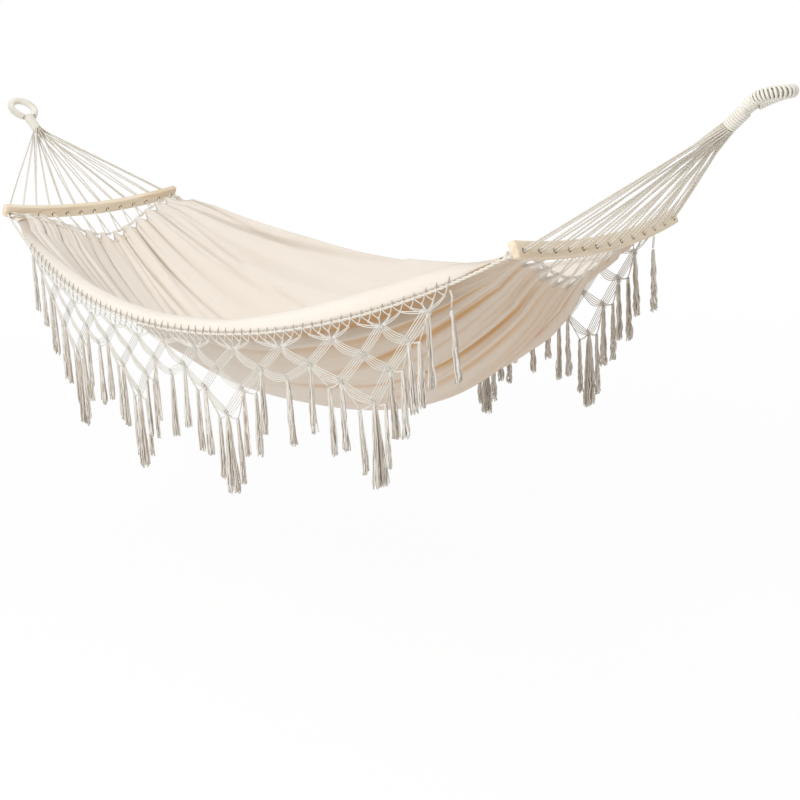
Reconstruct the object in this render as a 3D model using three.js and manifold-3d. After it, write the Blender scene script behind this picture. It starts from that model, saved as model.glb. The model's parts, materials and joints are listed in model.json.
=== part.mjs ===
// A lying hammock: a cotton bed between two bowed wooden bars, hung by fans of cord
// from two wrapped loops, with a knotted fringe along both long edges.
// Millimetres, +X from the left loop to the right loop, +Z up.
import * as THREE from 'three';
import * as BufferGeometryUtils from 'three/addons/utils/BufferGeometryUtils.js';
import Module from 'manifold-3d';

const wasm = await Module();
wasm.setup();

// Driving dimensions
const barDistance = 1920; // hole line to hole line
const holeCount = 13;
const holeSpan = 640; // first to last hole, straight across
const barLength = 680;
const barHeight = 38;
const barThickness = 20;
const barBow = 26; // how far the middle lies below the ends
const barEdgeRadius = 4;
const barTilt = 25; // degrees that the holes' axes rise towards the loop
const holeDiameter = 12;
const holeAboveEdge = 14; // hole centre above the bar's lower edge

const neckReach = 297; // hole line to the centre of the neck, level
const neckRise = 243; // hole line to the centre of the neck, upwards
const neckDiameter = 30;
const neckLength = 34; // centre of the ball end to the face that the loop leaves
const loopLength = 134; // neck centre to the loop's far centre line
const loopWidth = 84; // between the centre lines of its two sides
const loopLegSpread = 15.6; // between the centre lines of its two legs at the neck
const loopRopeDiameter = 14;
const windingDiameter = 5.5;
const windingTurns = 14;
const windingLead = 50; // length of bare rope at each end of a winding
const rightLoopDroop = 42; // degrees that the right loop's tip has sunk from the fan's line

const strandDiameter = 4;
const strandSpread = 4.6; // between the two strands in one hole
const neckLayerPitch = 4.4; // between the layers of strands at the neck
const neckRowPitch = 2.33; // between neighbouring strands at the neck
const neckSeat = 1.4; // neck's round end to the middle of a strand's cut end
const hairpinWidth = 26; // between the two legs of a strand at the bed
const gatherCordDiameter = 6;
const strandClearance = 0.4;
const seatClearance = 0.35;

const bedCornerGap = 32; // bar's hole line to the gather cord, at the corners
const bedMiddleGap = 105; // the same in the middle
const bedEndWidth = 608; // across the gather cord
const bedEndCornerSlope = 15; // degrees down at the corners
const bedEndMiddleSlope = 46; // degrees down in the middle
const bedDepth = 420; // the middle of the bed below its ends
const crestSag = 166; // the crest's middle below its ends
const crestFlare = 147; // how far the crest swings out, each side
const lipReachMiddle = 35; // crest to hem, outwards, in the middle
const lipReachEnd = 14;
const lipDropMiddle = 57; // crest to hem, downwards, in the middle
const lipDropEnd = 6;
const clothThickness = 3;
const pleatHeight = 8;
const pleatCount = 7;
const edgeRopeDiameter = 8;

const fringeThickness = 5;
const fringeLeft = -730; // the front fringe's first column, from the middle of the bed
const swagCentres = [-505, -160, 187, 607]; // its deepest points
const fringeRight = 851;
const backFringeShift = 48; // the back fringe is sewn on a little nearer the right end
const netDepth = 197; // heading to the deepest knots
const netBandWidth = 16;
const headingHeight = 8;
const headingClearance = 1.1; // edge rope to the fringe's heading
const tasselWidth = 13;
const swagTasselWidth = 24;
const tasselLength = 175;
const swagTasselLength = 205;

// Counts, shares and curve powers
const barSegments = 16;
const bedRows = 18;
const bedPanels = 24; // quads across, between the crests
const lipPanels = 2;
const rowCrowdingShare = 0.8;
const crestPower = 2.15;
const flarePower = 1.75;
const depthPower = 2.3;
const netRowShares = [0, 0.13, 0.39, 0.66, 1]; // rows of knots, from the heading down
const archShare = 0.53; // knots that hang from an arch between two swags
const swagHalfColumns = 3; // columns from a deepest point to the arch beside it
const endColumns = 4; // columns from the outer deepest points to the fringe's ends
const headingArchShare = 0.25; // how far the uppermost gaps reach into the heading
const loopSteps = 26;
const windingStepsPerTurn = 8;

// Places worked out from the dimensions
const barX = barDistance / 2;
const tilt = THREE.MathUtils.degToRad(barTilt);
const holeAxis = new THREE.Vector3(Math.cos(tilt), 0, Math.sin(tilt));
const barUp = new THREE.Vector3(-Math.sin(tilt), 0, Math.cos(tilt));
const neckCentre = new THREE.Vector3(barX + neckReach, 0, neckRise);
const sideways = new THREE.Vector3(0, 1, 0);

function vector(x, y, z) {
  return new THREE.Vector3(x, y, z);
}

function material(color, roughness) {
  return new THREE.MeshStandardMaterial({ color, roughness, metalness: 0 });
}

// A route with a vertex of the swept tube at each of its points
class Route extends THREE.Curve {
  constructor(points) {
    super();
    this.points = points;
  }

  getPoint(share, target = new THREE.Vector3()) {
    const place = share * (this.points.length - 1);
    const index = Math.min(Math.floor(place), this.points.length - 2);
    return target.lerpVectors(this.points[index], this.points[index + 1], place - index);
  }

  getPointAt(share, target) {
    return this.getPoint(share, target);
  }

  getTangentAt(share, target = new THREE.Vector3()) {
    const last = this.points.length - 1;
    const index = Math.round(share * last);
    const before = this.points[Math.max(index - 1, 0)];
    const here = this.points[index];
    const after = this.points[Math.min(index + 1, last)];
    const arriving = here.clone().sub(before).normalize();
    const leaving = after.clone().sub(here).normalize();
    return target.copy(arriving.add(leaving)).normalize();
  }
}

function rope(points, diameter, sides) {
  const section = new THREE.Shape();
  for (let side = 0; side < sides; side += 1) {
    const angle = (side / sides) * 2 * Math.PI;
    const x = (diameter / 2) * Math.cos(angle);
    const y = (diameter / 2) * Math.sin(angle);
    if (side === 0) section.moveTo(x, y);
    else section.lineTo(x, y);
  }
  section.closePath();
  const settings = { steps: points.length - 1, extrudePath: new Route(points), curveSegments: 1 };
  return new THREE.ExtrudeGeometry(section, settings);
}

function solidOf(geometry) {
  const plain = geometry.clone();
  plain.deleteAttribute('normal');
  plain.deleteAttribute('uv');
  const merged = BufferGeometryUtils.mergeVertices(plain);
  const vertProperties = new Float32Array(merged.attributes.position.array);
  const triVerts = new Uint32Array(merged.index.array);
  return new wasm.Manifold(new wasm.Mesh({ numProp: 3, vertProperties, triVerts }));
}

function geometryOf(solid) {
  const mesh = solid.getMesh();
  const geometry = new THREE.BufferGeometry();
  geometry.setAttribute('position', new THREE.BufferAttribute(mesh.vertProperties, 3));
  geometry.setIndex(new THREE.BufferAttribute(mesh.triVerts, 1));
  return geometry;
}

// The left end is the right end mirrored, so the faces are turned round again
function mirrored(geometry) {
  const copy = geometry.clone().applyMatrix4(new THREE.Matrix4().makeScale(-1, 1, 1));
  const plain = copy.index ? copy.toNonIndexed() : copy;
  const positions = plain.attributes.position;
  const swap = new THREE.Vector3();
  const other = new THREE.Vector3();
  for (let corner = 0; corner < positions.count; corner += 3) {
    swap.fromBufferAttribute(positions, corner + 1);
    other.fromBufferAttribute(positions, corner + 2);
    positions.setXYZ(corner + 1, other.x, other.y, other.z);
    positions.setXYZ(corner + 2, swap.x, swap.y, swap.z);
  }
  const result = new THREE.BufferGeometry();
  result.setAttribute('position', positions);
  return result;
}

// Spreader bar
function fallFromEnds(y, halfSpan) {
  return 1 - (y / halfSpan) ** 2;
}

function holeCentre(y) {
  const drop = barUp.clone().multiplyScalar(-barBow * fallFromEnds(y, holeSpan / 2));
  return vector(barX, y, 0).add(drop);
}

function holePlaces() {
  const places = [];
  for (let hole = 0; hole < holeCount; hole += 1) {
    places.push(holeSpan * (hole / (holeCount - 1) - 1 / 2));
  }
  return places;
}

function spreaderBar() {
  const face = new THREE.Shape();
  const lower = [];
  const upper = [];
  for (let step = 0; step <= barSegments; step += 1) {
    const y = (barLength - 2 * barEdgeRadius) * (step / barSegments - 1 / 2);
    const holeLine = -barBow * fallFromEnds(y, holeSpan / 2);
    lower.push(new THREE.Vector2(y, holeLine - holeAboveEdge + barEdgeRadius));
    upper.unshift(new THREE.Vector2(y, holeLine - holeAboveEdge + barHeight - barEdgeRadius));
  }
  face.setFromPoints(lower.concat(upper));
  const blank = new THREE.ExtrudeGeometry(face, {
    depth: barThickness - 2 * barEdgeRadius,
    bevelEnabled: true,
    bevelThickness: barEdgeRadius,
    bevelSize: barEdgeRadius,
    bevelSegments: 1,
    curveSegments: 1,
  });
  blank.translate(0, 0, barEdgeRadius - barThickness / 2);
  let bar = solidOf(blank);
  for (const y of holePlaces()) {
    const drill = new THREE.CylinderGeometry(holeDiameter / 2, holeDiameter / 2, 2 * barThickness, 10);
    drill.rotateX(Math.PI / 2);
    drill.translate(y, -barBow * fallFromEnds(y, holeSpan / 2), 0);
    bar = bar.subtract(solidOf(drill));
  }
  const geometry = geometryOf(bar);
  const place = new THREE.Matrix4().makeBasis(sideways, barUp, holeAxis);
  place.setPosition(barX, 0, 0);
  return geometry.applyMatrix4(place);
}

// Neck: the whipping that binds the strands under the loop
const fanDirection = neckCentre.clone().sub(holeCentre(0)).normalize();
const fanUp = vector(-fanDirection.z, 0, fanDirection.x);

function neck() {
  const radius = neckDiameter / 2;
  const profile = [];
  const ballSteps = 6;
  for (let step = 0; step <= ballSteps; step += 1) {
    const angle = (step / ballSteps) * (Math.PI / 2);
    profile.push(new THREE.Vector2(radius * Math.sin(angle), -radius * Math.cos(angle)));
  }
  profile.push(new THREE.Vector2(radius, neckLength));
  profile.push(new THREE.Vector2(0, neckLength));
  const geometry = new THREE.LatheGeometry(profile, 16);
  const place = new THREE.Matrix4().makeBasis(fanUp, fanDirection, sideways);
  place.setPosition(neckCentre);
  return geometry.applyMatrix4(place);
}

// Hanging loop: a teardrop in the plane of the pull and the bed's width.
// The pull's own line bends down by the droop over the loop's length.
function pullFrame(distance, droop) {
  const turn = THREE.MathUtils.degToRad(droop);
  const bendStart = neckLength;
  const bendLength = loopLength - bendStart;
  const straight = Math.min(distance, bendStart);
  const bent = Math.max(distance - bendStart, 0);
  const angle = turn * (bent / bendLength);
  const rise = Math.atan2(fanDirection.z, fanDirection.x);
  const point = neckCentre.clone().addScaledVector(fanDirection, straight);
  if (turn > 0) {
    const radius = bendLength / turn;
    point.x += radius * (Math.sin(rise) - Math.sin(rise - angle));
    point.z += radius * (Math.cos(rise - angle) - Math.cos(rise));
  } else {
    point.addScaledVector(fanDirection, bent);
  }
  const normal = vector(-Math.sin(rise - angle), 0, Math.cos(rise - angle));
  return { point, normal };
}

function loopCurve(droop) {
  const halfLeg = loopLegSpread / 2;
  const halfWidth = loopWidth / 2;
  const legStart = neckLength + 2 * seatClearance;
  const roundStart = loopLength - halfWidth;
  const flareShares = [0, 0.2, 0.5, 0.8];
  const flareWidthShares = [0, 0, 0.38, 0.88];
  const side = flareShares.map((share, index) => [
    legStart + (roundStart - legStart) * share,
    halfLeg + (halfWidth - halfLeg) * flareWidthShares[index],
  ]);
  const roundSteps = 8;
  const round = [];
  for (let step = 0; step <= roundSteps; step += 1) {
    const angle = (step / roundSteps) * Math.PI;
    round.push([roundStart + halfWidth * Math.sin(angle), halfWidth * Math.cos(angle)]);
  }
  const back = side.map(([distance, across]) => [distance, -across]).reverse();
  const points = side.concat(round, back).map(([distance, across]) => {
    const frame = pullFrame(distance, droop);
    return frame.point.setY(across);
  });
  return new THREE.CatmullRomCurve3(points, false, 'centripetal');
}

function loopRope(droop) {
  return rope(loopCurve(droop).getSpacedPoints(loopSteps), loopRopeDiameter, 8);
}

function windingPoints(droop) {
  const curve = loopCurve(droop);
  const length = curve.getLength();
  const windLength = length - 2 * windingLead;
  const steps = windingTurns * windingStepsPerTurn;
  const seat = loopRopeDiameter / 2 + strandClearance + windingDiameter / 2;
  const radius = seat / Math.cos(Math.PI / windingStepsPerTurn);
  const points = [];
  for (let step = 0; step <= steps; step += 1) {
    const share = (windingLead + (windLength * step) / steps) / length;
    const centre = curve.getPointAt(share);
    const tangent = curve.getTangentAt(share);
    const distance = centre.clone().sub(neckCentre).setY(0).length();
    const normal = pullFrame(distance, droop).normal;
    const across = new THREE.Vector3().crossVectors(tangent, normal).normalize();
    const angle = (step / windingStepsPerTurn) * 2 * Math.PI;
    centre.addScaledVector(normal, radius * Math.cos(angle));
    centre.addScaledVector(across, radius * Math.sin(angle));
    points.push(centre);
  }
  return points;
}

function leastGap(points, diameter) {
  let least = Infinity;
  const apart = windingStepsPerTurn / 2;
  for (let first = 0; first < points.length; first += 1) {
    for (let second = first + apart; second < points.length; second += 1) {
      least = Math.min(least, points[first].distanceTo(points[second]));
    }
  }
  return least - diameter;
}

// Gather cord: runs along the bed's end, and the strands turn round it.
// The end's curve comes in level at both corners.
function endFall(y) {
  const share = Math.min(Math.abs(y) / (bedEndWidth / 2), 1);
  return (1 + Math.cos(Math.PI * share)) / 2;
}

function endSlope(y) {
  const degrees = bedEndCornerSlope + (bedEndMiddleSlope - bedEndCornerSlope) * endFall(y);
  return THREE.MathUtils.degToRad(degrees);
}

function inboard(y) {
  return vector(-Math.cos(endSlope(y)), 0, -Math.sin(endSlope(y)));
}

function bedEnd(y, beyond) {
  const reach = bedCornerGap + (bedMiddleGap - bedCornerGap) * endFall(y) + beyond;
  const start = holeCentre((y * holeSpan) / bedEndWidth).setY(y);
  return start.addScaledVector(inboard(y), reach);
}

function gatherCord() {
  const endHalf = bedEndWidth / 2;
  const overhang = (hairpinWidth + strandDiameter) / 2;
  const points = [bedEnd(-endHalf - overhang, 0)];
  const steps = 2 * (holeCount - 1);
  for (let step = 0; step <= steps; step += 1) {
    points.push(bedEnd(bedEndWidth * (step / steps - 1 / 2), 0));
  }
  points.push(bedEnd(endHalf + overhang, 0));
  return rope(points, gatherCordDiameter, 8);
}

// Suspension cord: neck, hole, round the gather cord, back through the hole, neck
const turnSteps = 4;
const turnSeat = gatherCordDiameter / 2 + strandClearance + strandDiameter / 2;
const turnRadius = turnSeat / Math.cos(Math.PI / (2 * turnSteps));

function neckLayer(hole) {
  const fromMiddle = Math.abs(hole - (holeCount - 1) / 2) % 3;
  const layerShares = [1 / 2, 5 / 2, 3 / 2];
  return neckLayerPitch * layerShares[fromMiddle];
}

function suspensionCord(hole) {
  const y = holePlaces()[hole];
  const centre = holeCentre(y);
  const mouth = barThickness / 2 + strandClearance;
  const fromMiddle = hole - (holeCount - 1) / 2;
  const points = [];
  const bedY = (y * bedEndWidth) / holeSpan;
  const inward = inboard(bedY);
  const outer = vector(inward.z, 0, -inward.x);
  for (const side of [1, -1]) {
    const layer = side * neckLayer(hole);
    const row = neckRowPitch * fromMiddle;
    const reach = neckDiameter / 2 + neckSeat;
    const depth = Math.sqrt(reach ** 2 - Math.min(row ** 2 + layer ** 2, reach ** 2 / 2));
    const start = neckCentre.clone().addScaledVector(fanDirection, -depth);
    start.addScaledVector(fanUp, layer).setY(row);
    const leg = [start];
    for (const end of [1, -1]) {
      const place = centre.clone().addScaledVector(holeAxis, end * mouth);
      leg.push(place.addScaledVector(barUp, (side * strandSpread) / 2));
    }
    const turnStart = vector(0, (side * -hairpinWidth) / 2, 0);
    for (let step = 0; step <= turnSteps / 2; step += 1) {
      const angle = (step / turnSteps) * Math.PI;
      const along = bedY + turnStart.y + side * step * strandDiameter / 2;
      const bend = bedEnd(along, 0);
      bend.addScaledVector(outer, side * turnRadius * Math.cos(angle));
      bend.addScaledVector(inward, turnRadius * Math.sin(angle));
      leg.push(bend);
    }
    if (side === 1) points.push(...leg);
    else points.push(...leg.reverse());
  }
  return rope(points, strandDiameter, 6);
}

// Bed cloth
const clothStart = turnRadius + strandDiameter / 2 + strandClearance;

function rowFall(row, power) {
  return 1 - Math.abs(row) ** power;
}

function lipOffset(row, share) {
  const fall = rowFall(row, crestPower);
  const reach = lipReachEnd + (lipReachMiddle - lipReachEnd) * fall;
  const drop = lipDropEnd + (lipDropMiddle - lipDropEnd) * fall;
  return { reach: reach * Math.sin((share * Math.PI) / 2), drop: drop * share ** 2 };
}

// row runs from -1 at the left end to 1 at the right end; across runs from -1 at the
// front crest to 1 at the back crest, and past them by lip, from 0 to 1 at the hem
function bedPoint(row, across, lip) {
  const endHalf = bedEndWidth / 2;
  const end = bedEnd(endHalf * across, clothStart);
  const half = endHalf + crestFlare * rowFall(row, flarePower);
  const crestZ = -crestSag * rowFall(row, crestPower);
  const floorZ = -bedDepth * rowFall(row, depthPower);
  const z = end.z + floorZ + (crestZ - floorZ) * across ** 2;
  const point = vector(end.x * row, half * across, z);
  const inward = inboard(endHalf * across);
  const pleat = pleatHeight * Math.abs(row) ** 3 * Math.cos(pleatCount * Math.PI * across);
  point.x += Math.sign(row) * inward.z * pleat;
  point.z -= inward.x * pleat;
  const offset = lipOffset(row, lip);
  point.y += Math.sign(across) * offset.reach;
  point.z -= offset.drop;
  return point;
}

function bedColumns() {
  const columns = [];
  for (let lip = lipPanels; lip > 0; lip -= 1) columns.push([-1, lip / lipPanels]);
  for (let column = 0; column <= bedPanels; column += 1) columns.push([(2 * column) / bedPanels - 1, 0]);
  for (let lip = 1; lip <= lipPanels; lip += 1) columns.push([1, lip / lipPanels]);
  return columns;
}

// The rows lie closer together towards the ends, where the pleats are
function bedRowShares() {
  const rows = [];
  const quarter = (Math.PI / 2) * rowCrowdingShare;
  for (let row = 0; row <= bedRows; row += 1) {
    rows.push(Math.sin(quarter * ((2 * row) / bedRows - 1)) / Math.sin(quarter));
  }
  return rows;
}

function bedCloth() {
  const columns = bedColumns();
  const centre = bedRowShares().map((row) => columns.map(([across, lip]) => bedPoint(row, across, lip)));
  const positions = [];
  const index = [];
  const width = columns.length;
  for (const side of [1, -1]) {
    centre.forEach((line, row) => {
      line.forEach((point, column) => {
        const along = centre[Math.min(row + 1, bedRows)][column].clone();
        along.sub(centre[Math.max(row - 1, 0)][column]);
        const acrossStep = line[Math.min(column + 1, width - 1)].clone();
        acrossStep.sub(line[Math.max(column - 1, 0)]);
        const normal = along.cross(acrossStep).normalize();
        const place = point.clone().addScaledVector(normal, (side * clothThickness) / 2);
        positions.push(place.x, place.y, place.z);
      });
    });
  }
  const layer = (bedRows + 1) * width;
  const at = (row, column) => row * width + column;
  const quad = (a, b, c, d) => index.push(a, b, c, a, c, d);
  for (let row = 0; row < bedRows; row += 1) {
    for (let column = 0; column < width - 1; column += 1) {
      const corners = [at(row, column), at(row + 1, column), at(row + 1, column + 1), at(row, column + 1)];
      quad(...corners);
      quad(...corners.map((corner) => corner + layer).reverse());
    }
  }
  const rim = [];
  for (let column = 0; column < width - 1; column += 1) rim.push([at(0, column), at(0, column + 1)]);
  for (let row = 0; row < bedRows; row += 1) rim.push([at(row, width - 1), at(row + 1, width - 1)]);
  for (let column = width - 1; column > 0; column -= 1) rim.push([at(bedRows, column), at(bedRows, column - 1)]);
  for (let row = bedRows; row > 0; row -= 1) rim.push([at(row, 0), at(row - 1, 0)]);
  for (const [first, second] of rim) quad(first, second, second + layer, first + layer);
  const geometry = new THREE.BufferGeometry();
  geometry.setAttribute('position', new THREE.Float32BufferAttribute(positions, 3));
  geometry.setIndex(index);
  return geometry;
}

// Edge rope: runs under the hem from bar to bar
function hemSide(row, side, below) {
  const hem = bedPoint(row, side, 1);
  const before = bedPoint(row, side, 1 - 1 / lipPanels);
  const outward = hem.clone().sub(before).setX(0).normalize();
  return hem.addScaledVector(outward, below);
}

function edgeRopePoints(side) {
  const below = 2 * seatClearance + edgeRopeDiameter / 2;
  const points = bedRowShares().map((row) => hemSide(row, side, below));
  const faceGap = barThickness / 2 + 2 * seatClearance;
  const endY = side * (barLength / 2 - edgeRopeDiameter / 2 - barEdgeRadius / 2);
  for (const reach of [faceGap + edgeRopeDiameter, faceGap]) {
    const right = vector(barX, endY, 0).addScaledVector(holeAxis, -reach);
    points.push(right);
    points.unshift(right.clone().setX(-right.x));
  }
  return points;
}

// Fringe: a net of flat bands with a tassel at each lower knot
const swagPeriod = 2 * swagHalfColumns;
const swagRows = netRowShares.length - 1;

function fringeColumns() {
  const places = [fringeLeft];
  const targets = swagCentres.concat([fringeRight]);
  targets.forEach((target, index) => {
    const from = places[places.length - 1];
    const outer = index === 0 || index === swagCentres.length;
    const count = outer ? endColumns : swagPeriod;
    for (let step = 1; step <= count; step += 1) {
      places.push(from + ((target - from) * step) / count);
    }
  });
  return places;
}

function swagsAway(column) {
  return swagCentres.map((centre, swag) => Math.abs(column - endColumns - swag * swagPeriod));
}

function isArch(column) {
  return swagsAway(column).filter((away) => away === swagHalfColumns).length === 2;
}

function netRows(column) {
  return isArch(column) ? swagRows - 1 : swagRows - Math.min(...swagsAway(column));
}

function knotDrop(column, row) {
  const share = isArch(column) && row === netRows(column) ? archShare : netRowShares[row];
  return headingHeight + netDepth * share;
}

// Corners of one knot of the net in the fringe's flat drawing. A lowest knot has a flat
// foot, as wide as its tassel, and the outer columns end on a straight line.
function knotCorners(places, column, row) {
  const last = places.length - 1;
  const x = places[column];
  const y = -knotDrop(column, row);
  const pitch = column < last ? places[column + 1] - x : x - places[column - 1];
  const rowHeight = netDepth / swagRows;
  const slope = Math.hypot(pitch, rowHeight);
  const halfWide = (netBandWidth / 2) * (slope / rowHeight);
  const halfTall = (netBandWidth / 2) * (slope / pitch);
  const leftX = column === 0 ? x : x - halfWide;
  const rightX = column === last ? x : x + halfWide;
  const lowest = row === netRows(column);
  const foot = lowest ? (row === swagRows ? swagTasselWidth : tasselWidth) / 2 : 0;
  const footLeft = column === 0 ? x : x - foot;
  const footRight = column === last ? x : x + foot;
  return {
    top: new THREE.Vector2(x, row === 0 ? 0 : y + halfTall),
    left: new THREE.Vector2(leftX, y),
    right: new THREE.Vector2(rightX, y),
    footLeft: new THREE.Vector2(footLeft, y - halfTall),
    footRight: new THREE.Vector2(footRight, y - halfTall),
    lowest,
    length: row === swagRows ? swagTasselLength : tasselLength,
  };
}

function hasKnot(places, column, row) {
  const onNet = column >= 0 && column < places.length && row >= 0 && row <= netRows(column);
  return onNet && (column - endColumns + row) % 2 === 0;
}

// The flat drawing as convex pieces, each going round anticlockwise
function fringePieces() {
  const places = fringeColumns();
  const pieces = [];
  const headingTop = (column) => new THREE.Vector2(places[column], 0);
  const arch = (column) => new THREE.Vector2(places[column], -headingHeight * (1 - headingArchShare));
  places.forEach((x, column) => {
    for (let row = 0; row <= netRows(column); row += 1) {
      if (hasKnot(places, column, row)) {
        const knot = knotCorners(places, column, row);
        const foot = knot.lowest ? [knot.footLeft, knot.footRight] : [knot.footLeft];
        pieces.push([knot.top, knot.left, ...foot, knot.right]);
        if (hasKnot(places, column + 1, row + 1)) {
          const next = knotCorners(places, column + 1, row + 1);
          pieces.push([knot.right, knot.footRight, next.left, next.top]);
        }
        if (hasKnot(places, column - 1, row + 1)) {
          const next = knotCorners(places, column - 1, row + 1);
          pieces.push([knot.left, next.top, next.right, knot.footLeft]);
        }
        if (knot.lowest) {
          const tip = (corner) => new THREE.Vector2(corner.x, corner.y - knot.length);
          pieces.push([knot.footLeft, tip(knot.footLeft), tip(knot.footRight), knot.footRight]);
        }
      }
    }
    if (column + 1 < places.length) {
      if (hasKnot(places, column, 0)) {
        const knot = knotCorners(places, column, 0);
        pieces.push([headingTop(column), knot.right, arch(column + 1), headingTop(column + 1)]);
      } else {
        const knot = knotCorners(places, column + 1, 0);
        pieces.push([headingTop(column), arch(column), knot.left, headingTop(column + 1)]);
      }
    }
  });
  return pieces;
}

// A plate of even thickness from flat pieces that meet along whole edges
function plate(pieces, depth) {
  const corners = [];
  const numbers = new Map();
  const numberOf = (corner) => {
    const key = `${corner.x.toFixed(3)},${corner.y.toFixed(3)}`;
    if (!numbers.has(key)) {
      numbers.set(key, corners.length);
      corners.push(corner);
    }
    return numbers.get(key);
  };
  const rings = pieces.map((piece) => piece.map(numberOf));
  const positions = [];
  for (const side of [1, -1]) {
    for (const corner of corners) positions.push(corner.x, corner.y, (side * depth) / 2);
  }
  const index = [];
  const layer = corners.length;
  const edges = new Set();
  for (const ring of rings) {
    ring.forEach((corner, place) => edges.add(`${corner},${ring[(place + 1) % ring.length]}`));
    for (let place = 1; place + 1 < ring.length; place += 1) {
      index.push(ring[0], ring[place], ring[place + 1]);
      index.push(ring[0] + layer, ring[place + 1] + layer, ring[place] + layer);
    }
  }
  for (const edge of edges) {
    const [first, second] = edge.split(',').map(Number);
    if (!edges.has(`${second},${first}`)) {
      index.push(first, first + layer, second + layer, first, second + layer, second);
    }
  }
  const geometry = new THREE.BufferGeometry();
  geometry.setAttribute('position', new THREE.Float32BufferAttribute(positions, 3));
  geometry.setIndex(index);
  return geometry;
}

function fringe(side, shift) {
  return hungFromHem(plate(fringePieces(), fringeThickness), side, shift);
}

function hungFromHem(geometry, side, shift) {
  const positions = geometry.attributes.position;
  const reach = bedEnd((bedEndWidth / 2) * side, clothStart).x;
  const below = 2 * seatClearance + edgeRopeDiameter / 2;
  for (let vertex = 0; vertex < positions.count; vertex += 1) {
    const x = positions.getX(vertex) + shift;
    const drop = positions.getY(vertex);
    const thick = positions.getZ(vertex);
    const row = x / reach;
    const hem = hemSide(row, side, below);
    const along = hemSide(row + 1 / bedRows, side, below).sub(hem);
    const ropeHalf = (edgeRopeDiameter / 2) * (along.length() / along.x);
    const top = hem.z - ropeHalf - headingClearance;
    positions.setXYZ(vertex, x, hem.y - thick, top + drop);
  }
  return geometry;
}

// Assembly: the origin is where the left loop bears on its hook
const bed = new THREE.Group();
const hammock = new THREE.Group();
hammock.add(bed);

const wood = { color: '#dcc091', roughness: 0.6 };
const cotton = { color: '#ece4d3', roughness: 0.95 };
const canvas = { color: '#efe3cf', roughness: 0.95 };
const shadedCotton = { color: '#d9cdb8', roughness: 0.95 };

function addPiece(name, geometry, finish) {
  const mesh = new THREE.Mesh(geometry, material(finish.color, finish.roughness));
  mesh.name = name;
  bed.add(mesh);
}

function addBothEnds(name, geometry, finish) {
  addPiece(`right_${name}`, geometry, finish);
  addPiece(`left_${name}`, mirrored(geometry), finish);
}

addBothEnds('spreader_bar', spreaderBar(), wood);
addBothEnds('neck_whipping', neck(), shadedCotton);
addPiece('right_loop_rope', loopRope(rightLoopDroop), cotton);
addPiece('left_loop_rope', mirrored(loopRope(0)), cotton);
const rightWinding = windingPoints(rightLoopDroop);
const leftWinding = windingPoints(0);
for (const points of [rightWinding, leftWinding]) {
  console.log(`winding, least gap to itself: ${leastGap(points, windingDiameter).toFixed(2)} mm`);
}
addPiece('right_loop_winding', rope(rightWinding, windingDiameter, 5), shadedCotton);
addPiece('left_loop_winding', mirrored(rope(leftWinding, windingDiameter, 5)), shadedCotton);
addBothEnds('gather_cord', gatherCord(), cotton);
for (let hole = 0; hole < holeCount; hole += 1) {
  const number = String(hole + 1).padStart(2, '0');
  addBothEnds(`suspension_cord_${number}`, suspensionCord(hole), cotton);
}
addPiece('bed_cloth', bedCloth(), canvas);
addPiece('front_edge_rope', rope(edgeRopePoints(-1), edgeRopeDiameter, 8), cotton);
addPiece('back_edge_rope', rope(edgeRopePoints(1), edgeRopeDiameter, 8), cotton);
addPiece('front_fringe', fringe(-1, 0), shadedCotton);
addPiece('back_fringe', fringe(1, backFringeShift), shadedCotton);

const bearing = loopLength - loopRopeDiameter / 2 - strandClearance - windingDiameter;
const leftEye = pullFrame(bearing, 0).point;
bed.position.set(leftEye.x, 0, -leftEye.z);

export default hammock;
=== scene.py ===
import json
import math
import random

import bpy
import numpy as np
from mathutils import Matrix, Vector

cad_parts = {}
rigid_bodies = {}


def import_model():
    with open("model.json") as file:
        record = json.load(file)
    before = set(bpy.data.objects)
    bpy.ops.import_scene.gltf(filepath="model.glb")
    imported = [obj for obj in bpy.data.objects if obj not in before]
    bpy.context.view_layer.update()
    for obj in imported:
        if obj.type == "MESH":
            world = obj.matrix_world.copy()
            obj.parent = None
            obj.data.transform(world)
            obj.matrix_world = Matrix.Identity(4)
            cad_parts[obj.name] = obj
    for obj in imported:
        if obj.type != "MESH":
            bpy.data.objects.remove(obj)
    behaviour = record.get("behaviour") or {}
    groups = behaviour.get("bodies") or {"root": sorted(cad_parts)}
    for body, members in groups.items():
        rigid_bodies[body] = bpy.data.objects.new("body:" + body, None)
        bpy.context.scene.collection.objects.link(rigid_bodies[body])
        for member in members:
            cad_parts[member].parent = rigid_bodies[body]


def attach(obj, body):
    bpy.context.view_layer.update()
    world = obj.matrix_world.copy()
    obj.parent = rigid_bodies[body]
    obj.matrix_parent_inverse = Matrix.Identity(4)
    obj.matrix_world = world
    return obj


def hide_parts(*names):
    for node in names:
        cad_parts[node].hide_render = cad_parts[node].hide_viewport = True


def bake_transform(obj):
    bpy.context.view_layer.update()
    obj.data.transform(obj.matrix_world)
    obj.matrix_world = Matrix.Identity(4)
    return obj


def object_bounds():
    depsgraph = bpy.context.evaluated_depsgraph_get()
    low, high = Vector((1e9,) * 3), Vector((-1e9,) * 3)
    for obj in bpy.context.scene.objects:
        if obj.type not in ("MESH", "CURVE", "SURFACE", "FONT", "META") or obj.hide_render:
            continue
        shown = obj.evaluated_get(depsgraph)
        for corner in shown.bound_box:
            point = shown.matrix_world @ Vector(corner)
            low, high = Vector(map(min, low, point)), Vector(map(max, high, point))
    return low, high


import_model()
cad_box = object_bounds()
random.seed(7)
chance = np.random.default_rng(7)

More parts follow.
